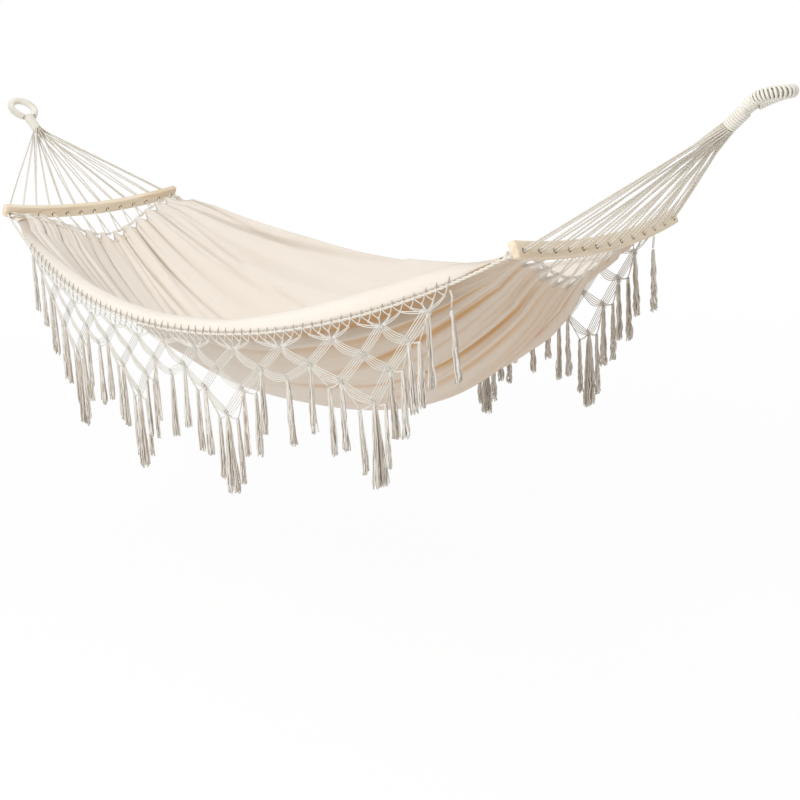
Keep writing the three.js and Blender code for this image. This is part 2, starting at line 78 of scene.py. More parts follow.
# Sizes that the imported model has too
BAR_DISTANCE = 1.920
HOLE_COUNT = 13
HOLE_SPAN = 0.640
BAR_LENGTH = 0.680
BAR_HEIGHT = 0.038
BAR_THICKNESS = 0.020
BAR_BOW = 0.026
BAR_TILT = math.radians(25)
HOLE_DIAMETER = 0.012
HOLE_ABOVE_EDGE = 0.014
NECK_REACH = 0.297
NECK_RISE = 0.243
NECK_DIAMETER = 0.030
NECK_LENGTH = 0.034
LOOP_LENGTH = 0.134
LOOP_WIDTH = 0.084
LOOP_LEG_SPREAD = 0.0156
LOOP_ROPE_DIAMETER = 0.014
WINDING_DIAMETER = 0.0055
RIGHT_LOOP_DROOP = math.radians(42)
STRAND_DIAMETER = 0.004
STRAND_SPREAD = 0.0046
NECK_LAYER_PITCH = 0.0044
NECK_ROW_PITCH = 0.00233
NECK_SEAT = 0.0014
HAIRPIN_WIDTH = 0.026
GATHER_CORD_DIAMETER = 0.006
STRAND_CLEARANCE = 0.0004
BED_CORNER_GAP = 0.032
BED_MIDDLE_GAP = 0.105
BED_END_WIDTH = 0.608
BED_CORNER_SLOPE = math.radians(15)
BED_MIDDLE_SLOPE = math.radians(46)
BED_DEPTH = 0.420
CREST_SAG = 0.166
CREST_FLARE = 0.147
CREST_POWER = 2.15
FLARE_POWER = 1.75
LIP_REACH_MIDDLE = 0.035
LIP_DROP_MIDDLE = 0.057
LIP_DROP_END = 0.006
EDGE_ROPE_DIAMETER = 0.008
HEADING_HEIGHT = 0.008
NET_DEPTH = 0.197
NET_ROW_SHARES = (0, 0.13, 0.39, 0.66, 1)
ARCH_SHARE = 0.53
SWAG_HALF_COLUMNS = 3
END_COLUMNS = 4
TASSEL_LENGTH = 0.175
SWAG_TASSEL_LENGTH = 0.205

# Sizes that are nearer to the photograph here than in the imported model
DEPTH_POWERS = (2.3, 3.0)  # left half, right half
LIP_REACH_END = 0.032
FRONT_FRINGE_ENDS = (-0.730, 0.836)
FRONT_SWAG_CENTRES = (-0.522, -0.182, 0.174, 0.610)
BACK_FRINGE_ENDS = (-0.664, 0.922)
BACK_SWAG_CENTRES = (-0.439, -0.094, 0.278, 0.673)

BAR_X = BAR_DISTANCE / 2
HOLE_AXIS = np.array([math.cos(BAR_TILT), 0, math.sin(BAR_TILT)])
BAR_UP = np.array([-math.sin(BAR_TILT), 0, math.cos(BAR_TILT)])
NECK = np.array([BAR_X + NECK_REACH, 0, NECK_RISE])
ACROSS = np.array([0.0, 1.0, 0.0])
MIRRORED = np.array([-1, 1, 1])
ENDS = ((False, "right"), (True, "left"))  # mirrored or not, and the name


def unit(vector):
    return vector / np.linalg.norm(vector)


def bowed_drop(y):
    return -BAR_BOW * (1 - (y / (HOLE_SPAN / 2)) ** 2)


def hole_y(hole):
    return HOLE_SPAN * (hole / (HOLE_COUNT - 1) - 1 / 2)


def hole_centre(y):
    return np.array([BAR_X, y, 0]) + BAR_UP * bowed_drop(y)


FAN = unit(NECK - hole_centre(0))
FAN_UP = np.array([-FAN[2], 0, FAN[0]])
BEARING = LOOP_LENGTH - LOOP_ROPE_DIAMETER / 2 - STRAND_CLEARANCE - WINDING_DIAMETER
MIDDLE = np.array([(NECK + FAN * BEARING)[0], 0, -(NECK + FAN * BEARING)[2]])


def in_place(points, left=False):
    """Points of the right end, in the hammock's middle frame, put in the part's own frame."""
    placed = np.array(points, float)
    if left:
        placed = placed * MIRRORED
    return placed + MIDDLE


# Camera, from the photograph
CAMERA_PLACE = np.array([2.3484, -2.3380, 0.3431])
CAMERA_YAW = 0.7505
CAMERA_PITCH = -0.2596
CAMERA_ROLL = -0.0368
FOCAL_PIXELS = 1181.8
PICTURE_PIXELS = 800
AXIS_PIXEL = np.array([350, 400])  # where the optical axis meets the picture

camera_data = bpy.data.cameras.new("camera")
camera_data.sensor_width = 36
camera_data.lens = camera_data.sensor_width * FOCAL_PIXELS / PICTURE_PIXELS
camera_data.shift_x = 0.5 - AXIS_PIXEL[0] / PICTURE_PIXELS
camera_data.shift_y = AXIS_PIXEL[1] / PICTURE_PIXELS - 0.5
camera_data.clip_end = 40
camera = bpy.data.objects.new("camera", camera_data)
bpy.context.scene.collection.objects.link(camera)
forward = Vector((
    -math.sin(CAMERA_YAW) * math.cos(CAMERA_PITCH),
    math.cos(CAMERA_YAW) * math.cos(CAMERA_PITCH),
    math.sin(CAMERA_PITCH),
))
turned = forward.to_track_quat("-Z", "Y").to_matrix() @ Matrix.Rotation(CAMERA_ROLL, 3, "Z")
camera.matrix_world = Matrix.Translation(Vector(CAMERA_PLACE + MIDDLE)) @ turned.to_4x4()
bpy.context.scene.camera = camera


# Shader maths: a wrapped socket takes part in Python sums and products
class Value:
    def __init__(self, nodes, socket):
        self.nodes = nodes
        self.socket = socket

    def math(self, operation, *values):
        inputs = dict(enumerate(values))
        return self.nodes.node("ShaderNodeMath", {"operation": operation}, inputs)

    def __add__(self, other):
        return self.math("ADD", self, other)

    def __radd__(self, other):
        return self.math("ADD", other, self)

    def __sub__(self, other):
        return self.math("SUBTRACT", self, other)

    def __rsub__(self, other):
        return self.math("SUBTRACT", other, self)

    def __mul__(self, other):
        return self.math("MULTIPLY", self, other)

    def __rmul__(self, other):
        return self.math("MULTIPLY", other, self)

    def __pow__(self, other):
        return self.math("POWER", self, other)

    def sine(self):
        return self.math("SINE", self)

    def clamped(self):
        return self.math("MINIMUM", self.math("MAXIMUM", self, 0.0), 1.0)


class Nodes:
    """The node tree of a material or of the world."""

    def __init__(self, owner):
        owner.use_nodes = True
        self.tree = owner.node_tree

    def feed(self, node, inputs):
        for key, value in inputs.items():
            if isinstance(value, Value):
                self.tree.links.new(value.socket, node.inputs[key])
            else:
                node.inputs[key].default_value = value

    def node(self, kind, settings=None, inputs=None, output=0):
        made = self.tree.nodes.new(kind)
        for name, value in (settings or {}).items():
            setattr(made, name, value)
        self.feed(made, inputs or {})
        return Value(self, made.outputs[output])


class Finish(Nodes):
    """One procedural material on a Principled shader."""

    def __init__(self, name, roughness, sheen=0.0):
        self.material = bpy.data.materials.new(name)
        super().__init__(self.material)
        self.shader = self.tree.nodes["Principled BSDF"]
        self.feed(self.shader, {
            "Roughness": roughness,
            "Specular IOR Level": 0.25,
            "Sheen Weight": sheen,
            "Sheen Roughness": 0.6,
        })

    def ramp(self, factor, stops):
        made = self.node("ShaderNodeValToRGB", None, {"Fac": factor})
        elements = made.socket.node.color_ramp.elements
        while len(elements) < len(stops):
            elements.new(0.5)
        for element, (position, colour) in zip(elements, stops):
            element.position = position
            element.color = (*colour, 1)
        return made

    def mix(self, factor, *colours):
        """Mixes two colours, each a socket or three numbers."""
        first, second = (made if isinstance(made, Value) else (*made, 1) for made in colours)
        inputs = {0: factor, 6: first, 7: second}
        return self.node("ShaderNodeMix", {"data_type": "RGBA"}, inputs, 2)

    def objects(self):
        return self.node("ShaderNodeTexCoord", None, None, 3)

    def uv(self):
        return self.node("ShaderNodeTexCoord", None, None, 2)

    def noise(self, vector, stretch, scale=1.0, detail=3.0, roughness=0.55):
        if stretch:
            vector = self.node("ShaderNodeMapping", None, {"Vector": vector, "Scale": stretch})
        inputs = {"Vector": vector, "Scale": scale, "Detail": detail, "Roughness": roughness}
        return self.node("ShaderNodeTexNoise", None, inputs)

    def part(self, vector, index):
        return self.node("ShaderNodeSeparateXYZ", None, {0: vector}, index)

    def attribute(self, name):
        return self.node("ShaderNodeAttribute", {"attribute_name": name}, None, 2)

    def colour(self, value):
        self.feed(self.shader, {"Base Color": value})

    def bump(self, height, distance, strength):
        inputs = {"Height": height, "Distance": distance, "Strength": strength}
        self.feed(self.shader, {"Normal": self.node("ShaderNodeBump", None, inputs)})


def pine_finish():
    finish = Finish("pale_pine", 0.5)
    place = finish.objects()
    grain = finish.noise(place, (90, 5, 90), detail=4.0, roughness=0.6)
    broad = finish.noise(place, (14, 1.2, 14), detail=2.0)
    rings = ((grain * 0.9 + broad * 2.4) * 9.0).sine() * 0.5 + 0.5
    wood = finish.ramp(rings, [
        (0.0, (0.72, 0.58, 0.42)),
        (0.35, (0.79, 0.67, 0.50)),
        (1.0, (0.84, 0.73, 0.57)),
    ])
    pores = finish.noise(place, (700, 22, 700), detail=2.0)
    finish.colour(finish.mix((pores - 0.42).clamped() * 0.9, wood, (0.74, 0.60, 0.43)))
    finish.feed(finish.shader, {"Roughness": grain * 0.25 + 0.40})
    finish.bump(pores * 0.5 + rings * 0.5, 0.0004, 0.35)
    return finish.material


WEAVE_RATE = 3400.0  # radians of the threads' wave per metre
WARM_SHADE_START = float(MIDDLE[0] - 0.1)  # the outer side gets a warmer painted shade from here towards the right end


def canvas_finish():
    finish = Finish("natural_canvas", 0.95, 0.15)
    place = finish.objects()
    weave_place = finish.uv()
    warp = (finish.part(weave_place, 0) * WEAVE_RATE).sine()
    weft = (finish.part(weave_place, 1) * WEAVE_RATE).sine()
    slub = finish.noise(weave_place, (14, 420, 1))
    cross_slub = finish.noise(weave_place, (420, 14, 1))
    cloudy = finish.noise(place, None, 2.6, 2.0)
    # The fold attribute is painted shade: in hollows, on ridges seen from outside, along creases and on
    # notch flanks.
    depth = finish.attribute("fold")
    cream = finish.mix(cloudy, (0.795, 0.725, 0.640), (0.850, 0.805, 0.745))
    thick = (slub * 0.5 + cross_slub * 0.5 - 0.42).clamped() * 1.6
    threads = finish.mix(thick, cream, (0.74, 0.63, 0.50))
    inside = finish.attribute("inside")
    # Painted shade: the cloth's outer side turns a warmer, darker tan, more so towards the right end.
    right_shade_share = ((finish.part(place, 0) - WARM_SHADE_START) * 1.3).clamped()
    warm_shade = (1.0 - inside) * (right_shade_share * 0.45 + 0.12)
    threads = finish.mix(warm_shade.clamped(), threads, (0.68, 0.54, 0.41))
    # Painted shade colours for the folds: orange-brown on the outer side, dark brown on the inner side.
    shaded = finish.mix(inside, (0.64, 0.37, 0.15), (0.36, 0.28, 0.20))
    finish.colour(finish.mix((depth * (0.92 - inside * 0.17)).clamped(), threads, shaded))
    finish.bump(warp * weft * 0.5 + slub + cross_slub, 0.0005, 0.35)
    return finish.material


def cotton_finish(name, light, dark, turns, bump=0.0006):
    """Twisted cotton: u runs along the cord in metres, v once round it."""
    finish = Finish(name, 0.93, 0.12)
    lay = finish.uv()
    along = finish.part(lay, 0)
    round_cord = finish.part(lay, 1)
    ply = (along * turns + round_cord * (6 * math.pi)).sine() * 0.5 + 0.5
    fuzz = finish.noise(lay, (900, 14, 1))
    shade = finish.attribute("shade")
    mixed = finish.mix((shade + (fuzz - 0.5) * 0.6).clamped(), light, dark)
    # Painted shade in the grooves between the plies.
    groove_shade = (1 - ply) ** 2.0 * 0.26
    finish.colour(finish.mix(groove_shade, mixed, [0.55 * value for value in dark]))
    finish.bump(ply + fuzz * 0.5, bump, 0.8)
    return finish.material


PINE = pine_finish()
CANVAS = canvas_finish()
STRAND = cotton_finish("twisted_strand", (0.86, 0.82, 0.74), (0.70, 0.63, 0.53), 0, 0.0003)
WOUND = cotton_finish("wound_cotton", (0.90, 0.87, 0.79), (0.72, 0.66, 0.56), 500, 0.0002)
NET = cotton_finish("net_cord", (0.94, 0.92, 0.86), (0.74, 0.68, 0.58), 1800)
TASSEL = cotton_finish("tassel_strand", (0.94, 0.91, 0.85), (0.60, 0.52, 0.43), 1400)
STITCH = cotton_finish("hem_stitch", (0.58, 0.54, 0.48), (0.40, 0.36, 0.31), 1800)
CORE = cotton_finish("loop_core", (0.66, 0.60, 0.51), (0.52, 0.46, 0.38), 0)


# Pieces and their meshes
def new_piece(name, corners, faces, lay, material):
    """A smooth mesh whose UV map gives each face corner's place on the thread, in metres."""
    mesh = bpy.data.meshes.new(name)
    mesh.from_pydata(corners.tolist(), [], faces)
    layer = mesh.uv_layers.new(name="lay")
    layer.data.foreach_set("uv", lay.astype(np.float32).ravel())
    mesh.shade_smooth()
    mesh.materials.append(material)
    piece = bpy.data.objects.new(name, mesh)
    bpy.context.scene.collection.objects.link(piece)
    return piece


def set_attribute(piece, name, values):
    attribute = piece.data.attributes.new(name, "FLOAT", "POINT")
    attribute.data.foreach_set("value", values.astype(np.float32))


def belongs(piece, body, slot, *nodes):
    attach(piece, body)
    if nodes:
        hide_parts(*nodes)


def select_none():
    bpy.ops.object.select_all(action="DESELECT")


def only(piece):
    select_none()
    piece.select_set(True)
    bpy.context.view_layer.objects.active = piece


def apply_modifier(piece, kind, **settings):
    modifier = piece.modifiers.new(kind.lower(), kind)
    for name, value in settings.items():
        setattr(modifier, name, value)
    only(piece)
    bpy.ops.object.modifier_apply(modifier=modifier.name)


# Routes: rows of points, and cords swept along them, many cords to one mesh
def rounded(points, rounds):
    """Cuts the corners of a route; its two ends stay."""
    route = np.array(points, float)
    for _ in range(rounds):
        early = route[:-1] * 0.75 + route[1:] * 0.25
        late = route[:-1] * 0.25 + route[1:] * 0.75
        between_ends = np.empty((2 * len(early), 3))
        between_ends[0::2] = early
        between_ends[1::2] = late
        route = np.vstack([route[:1], between_ends, route[-1:]])
    return route


def route_length(route):
    return float(np.linalg.norm(np.diff(route, axis=0), axis=1).sum())


def steps_along(route):
    """The way along a route from its start to each of its points."""
    return np.concatenate([[0], np.cumsum(np.linalg.norm(np.diff(route, axis=0), axis=1))])


def spaced(route, count):
    """The same route with evenly spaced points."""
    steps = steps_along(route)
    wanted = np.linspace(0, steps[-1], count)
    return np.stack([np.interp(wanted, steps, route[:, axis]) for axis in range(3)], axis=1)


def between(start, end, share):
    """Points at the given shares of the straight way from one place to another."""
    return start + (end - start) * share[:, None]


def ring_frames(route):
    """A sideways and an upward direction at each point, carried along without twisting."""
    tangents = np.gradient(route, axis=0)
    tangents /= np.maximum(np.linalg.norm(tangents, axis=1), 1e-12)[:, None]
    start = np.cross(tangents[0], [0.31, 0.17, 0.93])
    side = unit(start) if np.linalg.norm(start) > 1e-3 else np.array([1.0, 0, 0])
    sides = []
    for tangent in tangents:
        side = unit(side - tangent * np.dot(side, tangent))
        sides.append(side)
    sides = np.array(sides)
    return sides, np.cross(tangents, sides)


LOBE_SHARE = 0.13  # how far the plies of a laid cord stand out, as a share of its radius


class Cords:
    """Collects swept cords and makes one mesh of them."""

    def __init__(self):
        self.corners = []
        self.faces = []
        self.lay = []
        self.shades = []
        self.count = 0

    def add(self, route, radius, sides, shade, lobes=0, lay_length=1.0):
        """Sweeps a round section along a route, or one with lobes that turn once in a lay length."""
        route = np.array(route, float)
        side, up = ring_frames(route)
        steps = steps_along(route)
        angles = np.arange(sides) / sides * 2 * math.pi
        twist = steps / lay_length * 2 * math.pi if lobes else 0 * steps
        turned = angles + twist[:, None]
        reach = radius * (1 + LOBE_SHARE * np.cos(lobes * angles) if lobes else np.ones(sides))
        ring = (
            route[:, None, :]
            + side[:, None, :] * (reach * np.cos(turned))[..., None]
            + up[:, None, :] * (reach * np.sin(turned))[..., None]
        )
        self.corners.append(ring.reshape(-1, 3))
        first = self.count
        last = first + (len(route) - 1) * sides
        start = np.arange(first, last, sides)[:, None]
        at = start + np.arange(sides)
        beside = start + (np.arange(sides) + 1) % sides
        quads = np.stack([at, beside, beside + sides, at + sides], axis=-1).reshape(-1, 4)
        caps = [list(range(first, first + sides))[::-1], list(range(last, last + sides))]
        self.faces.extend(quads.tolist() + caps)
        u = np.repeat(steps[:, None], sides + 1, axis=1)
        v = np.broadcast_to(np.arange(sides + 1) / sides, u.shape)
        lay = np.stack([u, v], -1)
        lay = np.stack([lay[:-1, :-1], lay[:-1, 1:], lay[1:, 1:], lay[1:, :-1]], axis=2)
        self.lay += [lay.reshape(-1, 2), np.zeros((2 * sides, 2))]
        self.shades.append(np.full(len(route) * sides, shade))
        self.count += len(route) * sides

    def piece(self, name, material):
        piece = new_piece(name, np.vstack(self.corners), self.faces, np.vstack(self.lay), material)
        set_attribute(piece, "shade", np.concatenate(self.shades))
        return piece


def one_cord(name, material, *swept):
    cords = Cords()
    cords.add(*swept)
    return cords.piece(name, material)


# Bed's end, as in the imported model: a gather cord that hangs in a curve under the bar
def end_fall(y):
    share = np.minimum(np.abs(y) / (BED_END_WIDTH / 2), 1)
    return (1 + np.cos(np.pi * share)) / 2


def inboard(y):
    slope = BED_CORNER_SLOPE + (BED_MIDDLE_SLOPE - BED_CORNER_SLOPE) * end_fall(y)
    return np.stack([-np.cos(slope), np.zeros_like(slope), -np.sin(slope)], axis=-1)


def bed_end(y, beyond):
    """Places on the gather cord at y, or so far beyond it into the bed."""
    y = np.asarray(y, float)
    reach = BED_CORNER_GAP + (BED_MIDDLE_GAP - BED_CORNER_GAP) * end_fall(y) + beyond
    drop = bowed_drop(y * HOLE_SPAN / BED_END_WIDTH)
    start = np.stack([BAR_X + BAR_UP[0] * drop, y, BAR_UP[2] * drop], axis=-1)
    return start + inboard(y) * reach[..., None]


# Suspension cords
TURN_STEPS = 4
TURN_SEAT = GATHER_CORD_DIAMETER / 2 + STRAND_CLEARANCE + STRAND_DIAMETER / 2
TURN_RADIUS = TURN_SEAT / math.cos(math.pi / (2 * TURN_STEPS))
CLOTH_START = TURN_RADIUS + STRAND_DIAMETER / 2 + STRAND_CLEARANCE
LAYER_SHARES = (1 / 2, 5 / 2, 3 / 2)
STRAND_STEP = 0.0024  # between the rings of a strand
STRAND_LAY = 0.024  # one turn of its three plies


def suspension_route(hole):
    """Neck, hole, round the gather cord, back through the hole, neck."""
    y = hole_y(hole)
    centre = hole_centre(y)
    mouth = BAR_THICKNESS / 2 + STRAND_CLEARANCE
    from_middle = hole - (HOLE_COUNT - 1) / 2
    bed_y = y * BED_END_WIDTH / HOLE_SPAN
    inward = inboard(bed_y)
    outer = np.array([inward[2], 0, -inward[0]])
    layer_height = NECK_LAYER_PITCH * LAYER_SHARES[int(abs(from_middle)) % 3]
    points = []
    for side in (1, -1):
        layer = side * layer_height
        row = NECK_ROW_PITCH * from_middle
        reach = NECK_DIAMETER / 2 + NECK_SEAT
        depth = math.sqrt(reach ** 2 - min(row ** 2 + layer ** 2, reach ** 2 / 2))
        start = NECK - FAN * depth + FAN_UP * layer
        start[1] = row
        leg = [start]
        for end in (1, -1):
            leg.append(centre + HOLE_AXIS * (end * mouth) + BAR_UP * (side * STRAND_SPREAD / 2))
        for step in range(TURN_STEPS // 2 + 1):
            angle = step / TURN_STEPS * math.pi
            along = bed_y + side * (step * STRAND_DIAMETER - HAIRPIN_WIDTH) / 2
            leg.append(bed_end(along, 0.0) + outer * (side * TURN_RADIUS * math.cos(angle))
                       + inward * (TURN_RADIUS * math.sin(angle)))
        points += leg if side == 1 else leg[::-1]
    return points


def add_suspension_cords(left, end):
    for hole in range(HOLE_COUNT):
        route = in_place(rounded(suspension_route(hole), 2), left)
        length = route_length(route)
        route = spaced(route, int(length / STRAND_STEP))
        shade = (0.15 if left else 0.45) + 0.5 * random.random()
        number = f"{hole + 1:02d}"
        piece = one_cord(f"{end}_fan_cord_{number}", STRAND,
                         route, STRAND_DIAMETER / 2, 9, shade, 3, STRAND_LAY)
        belongs(piece, "bed", "cotton_cord", f"{end}_suspension_cord_{number}")


for is_left, end_name in ENDS:
    add_suspension_cords(is_left, end_name)


# Bars: a plank, bevelled, bowed and drilled
BAR_ROUNDING = 0.0042
BAR_SEGMENTS = 40
DRILL_EXTRA = 0.0004  # so that a bar can roll a little on its cords


def bar_plank(name):
    select_none()
    bpy.ops.mesh.primitive_cube_add(size=1)
    bar = bpy.context.active_object
    bar.name = name
    bar.scale = (BAR_LENGTH, BAR_HEIGHT, BAR_THICKNESS)
    bpy.ops.object.transform_apply(location=False, rotation=False, scale=True)
    bpy.ops.object.mode_set(mode="EDIT")
    bpy.ops.mesh.select_mode(type="EDGE")
    for cut in range(1, BAR_SEGMENTS):
        x = BAR_LENGTH * (cut / BAR_SEGMENTS - 0.5)
        bpy.ops.mesh.select_all(action="SELECT")
        bpy.ops.mesh.bisect(plane_co=(x, 0, 0), plane_no=(1, 0, 0))
    bpy.ops.object.mode_set(mode="OBJECT")
    middle = BAR_HEIGHT / 2 - HOLE_ABOVE_EDGE
    for corner in bar.data.vertices:
        corner.co.y += middle + bowed_drop(corner.co.x)
    apply_modifier(bar, "BEVEL", width=BAR_ROUNDING, segments=3, limit_method="ANGLE",
                   angle_limit=math.radians(50))
    return bar


def drill_holes(bar):
    drills = []
    for hole in range(HOLE_COUNT):
        y = hole_y(hole)
        select_none()
        bpy.ops.mesh.primitive_cylinder_add(
            vertices=28, radius=HOLE_DIAMETER / 2 + DRILL_EXTRA, depth=3 * BAR_THICKNESS,
            location=(y, bowed_drop(y), 0))
        drills.append(bpy.context.active_object)
    select_none()
    for drill in drills:
        drill.select_set(True)
    bpy.context.view_layer.objects.active = drills[0]
    bpy.ops.object.join()
    drill = bpy.context.active_object
    apply_modifier(bar, "BOOLEAN", object=drill, operation="DIFFERENCE", solver="EXACT")
    bpy.data.objects.remove(drill)


def add_bar(left, end):
    bar = bar_plank(f"{end}_pine_bar")
    drill_holes(bar)
    basis = np.column_stack([ACROSS, BAR_UP, HOLE_AXIS])
    corners = np.array([corner.co[:] for corner in bar.data.vertices]) @ basis.T
    corners[:, 0] += BAR_X
    placed = in_place(corners, left)
    bar.data.vertices.foreach_set("co", placed.astype(np.float32).ravel())
    if left:
        bar.data.flip_normals()
    bar.data.update()
    only(bar)
    bpy.ops.object.shade_smooth_by_angle(angle=math.radians(32))
    bar.data.materials.clear()
    bar.data.materials.append(PINE)
    belongs(bar, f"{end}_bar", "pine", f"{end}_spreader_bar")


for is_left, end_name in ENDS:
    add_bar(is_left, end_name)


# Loops: a rope core, one winding round its eye, one round its throat and one round the neck
LOOP_LEG_START = NECK_LENGTH + 0.0007  # just clear of the neck
FLARE_SHARES = (0, 0.2, 0.5, 0.8)
FLARE_WIDTH_SHARES = (0, 0.12, 0.6, 0.93)
LOOP_TURN_STEPS = 12
LOOP_ROPE_LAY = 0.045
ROUTE_POINTS = 600
EYE_POINTS = 900
EYE_LEAD = 0.024  # bare rope at each end of the eye's winding
EYE_LOOSENESS = 0.0042  # how far the right eye's turns part at its tip
LEFT_EYE_SEAT = LOOP_ROPE_DIAMETER / 2 + WINDING_DIAMETER * 0.42
RIGHT_EYE_SEAT = LOOP_ROPE_DIAMETER / 2 + WINDING_DIAMETER * 0.75
THROAT_SEAT = LOOP_ROPE_DIAMETER / 2 + 0.0025
NECK_WINDING_SEAT = NECK_DIAMETER / 2 - WINDING_DIAMETER * 0.35
THROAT_SPAN = (0.0335, 0.058)  # along the loop's middle line, from the neck's centre
NECK_SPAN = (-0.010, 0.033)


def pull_frame(distance, droop):
    """Place and upward direction on a loop's middle line, which bends down by its droop."""
    bend_length = LOOP_LENGTH - NECK_LENGTH
    bent = max(distance - NECK_LENGTH, 0)
    angle = droop * (bent / bend_length)
    rise = math.atan2(FAN[2], FAN[0])
    point = NECK + FAN * min(distance, NECK_LENGTH)
    if droop > 0:
        radius = bend_length / droop
        point = point + np.array([
            radius * (math.sin(rise) - math.sin(rise - angle)),
            0,
            radius * (math.cos(rise - angle) - math.cos(rise)),
        ])
    else:
        point = point + FAN * bent
    return point, np.array([-math.sin(rise - angle), 0, math.cos(rise - angle)])


def loop_route(droop):
    half_leg = LOOP_LEG_SPREAD / 2
    half_width = LOOP_WIDTH / 2
    round_start = LOOP_LENGTH - half_width
    side = [
        (LOOP_LEG_START + (round_start - LOOP_LEG_START) * share,
         half_leg + (half_width - half_leg) * width)
        for share, width in zip(FLARE_SHARES, FLARE_WIDTH_SHARES)
    ]
    angles = [step / LOOP_TURN_STEPS * math.pi for step in range(LOOP_TURN_STEPS + 1)]
    turn = [
        (round_start + half_width * math.sin(angle), half_width * math.cos(angle))
        for angle in angles
    ]
    flat = side + turn + [(distance, -across) for distance, across in side[::-1]]
    points = [pull_frame(distance, droop)[0] + ACROSS * across for distance, across in flat]
    return rounded(points, 3)


def wound_round(route, droop, radius, pitch_at, steps_per_turn, spread=0.0):
    """A helix round a route, whose pitch may change along it."""
    length = route_length(route)
    fine = spaced(route, ROUTE_POINTS)
    tangents = np.gradient(fine, axis=0)
    tangents /= np.linalg.norm(tangents, axis=1)[:, None]
    wide = radius + spread
    last = ROUTE_POINTS - 1
    distance = 0.0
    angle = 0.0
    points = []
    while distance < length:
        index = min(int(distance / length * last), last)
        centre = fine[index]
        along = float(np.linalg.norm((centre - NECK) * np.array([1, 0, 1])))
        _, normal = pull_frame(along, droop)
        across = unit(np.cross(tangents[index], normal))
        points.append(centre + normal * (radius * math.cos(angle)) + across * (wide * math.sin(angle)))
        angle += 2 * math.pi / steps_per_turn
        distance += pitch_at(distance / length) / steps_per_turn
    return np.array(points)


def tight_pitch(share):
    return WINDING_DIAMETER * 1.02


def add_winding(name, turns, left, shade, *nodes):
    winding = one_cord(name, WOUND, in_place(turns, left), WINDING_DIAMETER / 2, 8, shade)
    belongs(winding, "loops", "winding_cotton", *nodes)


def add_loop(left, end):
    droop = 0.0 if left else RIGHT_LOOP_DROOP
    looseness = 0.0 if left else EYE_LOOSENESS
    route = loop_route(droop)
    core = one_cord(f"{end}_loop_core", CORE, in_place(spaced(route, 160), left),
                    LOOP_ROPE_DIAMETER / 2, 16, 0.4, 3, LOOP_ROPE_LAY)
    belongs(core, "loops", "cotton_cord", f"{end}_loop_rope")

    def eye_pitch(share):
        return WINDING_DIAMETER * 1.04 + looseness * math.exp(-((share - 0.5) / 0.17) ** 2)

    seat = LEFT_EYE_SEAT if left else RIGHT_EYE_SEAT
    keep = int(EYE_LEAD / route_length(route) * EYE_POINTS)
    eye = spaced(route, EYE_POINTS)[keep:-keep]
    turns = wound_round(eye, droop, seat, eye_pitch, 12)
    add_winding(f"{end}_eye_winding", turns, left, 0.1, f"{end}_loop_winding")

    throat = np.array([pull_frame(distance, droop)[0] for distance in np.linspace(*THROAT_SPAN, 40)])
    turns = wound_round(throat, droop, THROAT_SEAT, tight_pitch, 20, LOOP_LEG_SPREAD / 2)
    add_winding(f"{end}_throat_winding", turns, left, 0.1)

    neck = np.array([NECK + FAN * distance for distance in np.linspace(*NECK_SPAN, 40)])
    turns = wound_round(neck, 0.0, NECK_WINDING_SEAT, tight_pitch, 20)
    add_winding(f"{end}_neck_binding", turns, left, 0.2, f"{end}_neck_whipping")


for is_left, end_name in ENDS:
    add_loop(is_left, end_name)


# Bed cloth: its smooth surface
def row_fall(row, power):
    return 1 - np.abs(row) ** power


# How far the two crests lie above their even curve, from the left end to the right one
CREST_PLACES = (-0.92, -0.85, -0.76, -0.53, -0.40, -0.20, 0.0, 0.19, 0.41, 0.60, 0.70, 0.80, 0.92)
FRONT_CREST_RISES = (
    0, -0.003, -0.008, -0.016, -0.022, -0.029, -0.033, -0.034, -0.013, 0.006, 0.015, 0.020, 0,
)
BACK_CREST_RISES = (
    0.008, 0.026, 0.033, 0.026, 0.022, 0.006, -0.006, -0.006, -0.012, -0.026, -0.034, -0.042, -0.022,
)


def crest_rise(x, across):
    front = np.interp(x, CREST_PLACES, FRONT_CREST_RISES)
    back = np.interp(x, CREST_PLACES, BACK_CREST_RISES)
    return np.where(across < 0, front, back) * across ** 2


def bed_point(row, across, lip):
    """The cloth's middle surface in the middle frame, without its pleats."""
    row, across, lip = np.broadcast_arrays(row, across, lip)
    end = bed_end(BED_END_WIDTH / 2 * across, CLOTH_START)
    half = BED_END_WIDTH / 2 + CREST_FLARE * row_fall(row, FLARE_POWER)
    fall = row_fall(row, CREST_POWER)
    crest = -CREST_SAG * fall
    floor = -BED_DEPTH * row_fall(row, np.where(row < 0, *DEPTH_POWERS))
    height = end[..., 2] + floor + (crest - floor) * across ** 2
    reach = (LIP_REACH_END + (LIP_REACH_MIDDLE - LIP_REACH_END) * fall) * np.sin(lip * np.pi / 2)
    drop = (LIP_DROP_END + (LIP_DROP_MIDDLE - LIP_DROP_END) * fall) * lip ** 2
    x = end[..., 0] * row
    rise = crest_rise(x, across) * (1 - lip ** 1.5)
    return np.stack([x, half * across + np.sign(across) * reach, height - drop + rise], axis=-1)


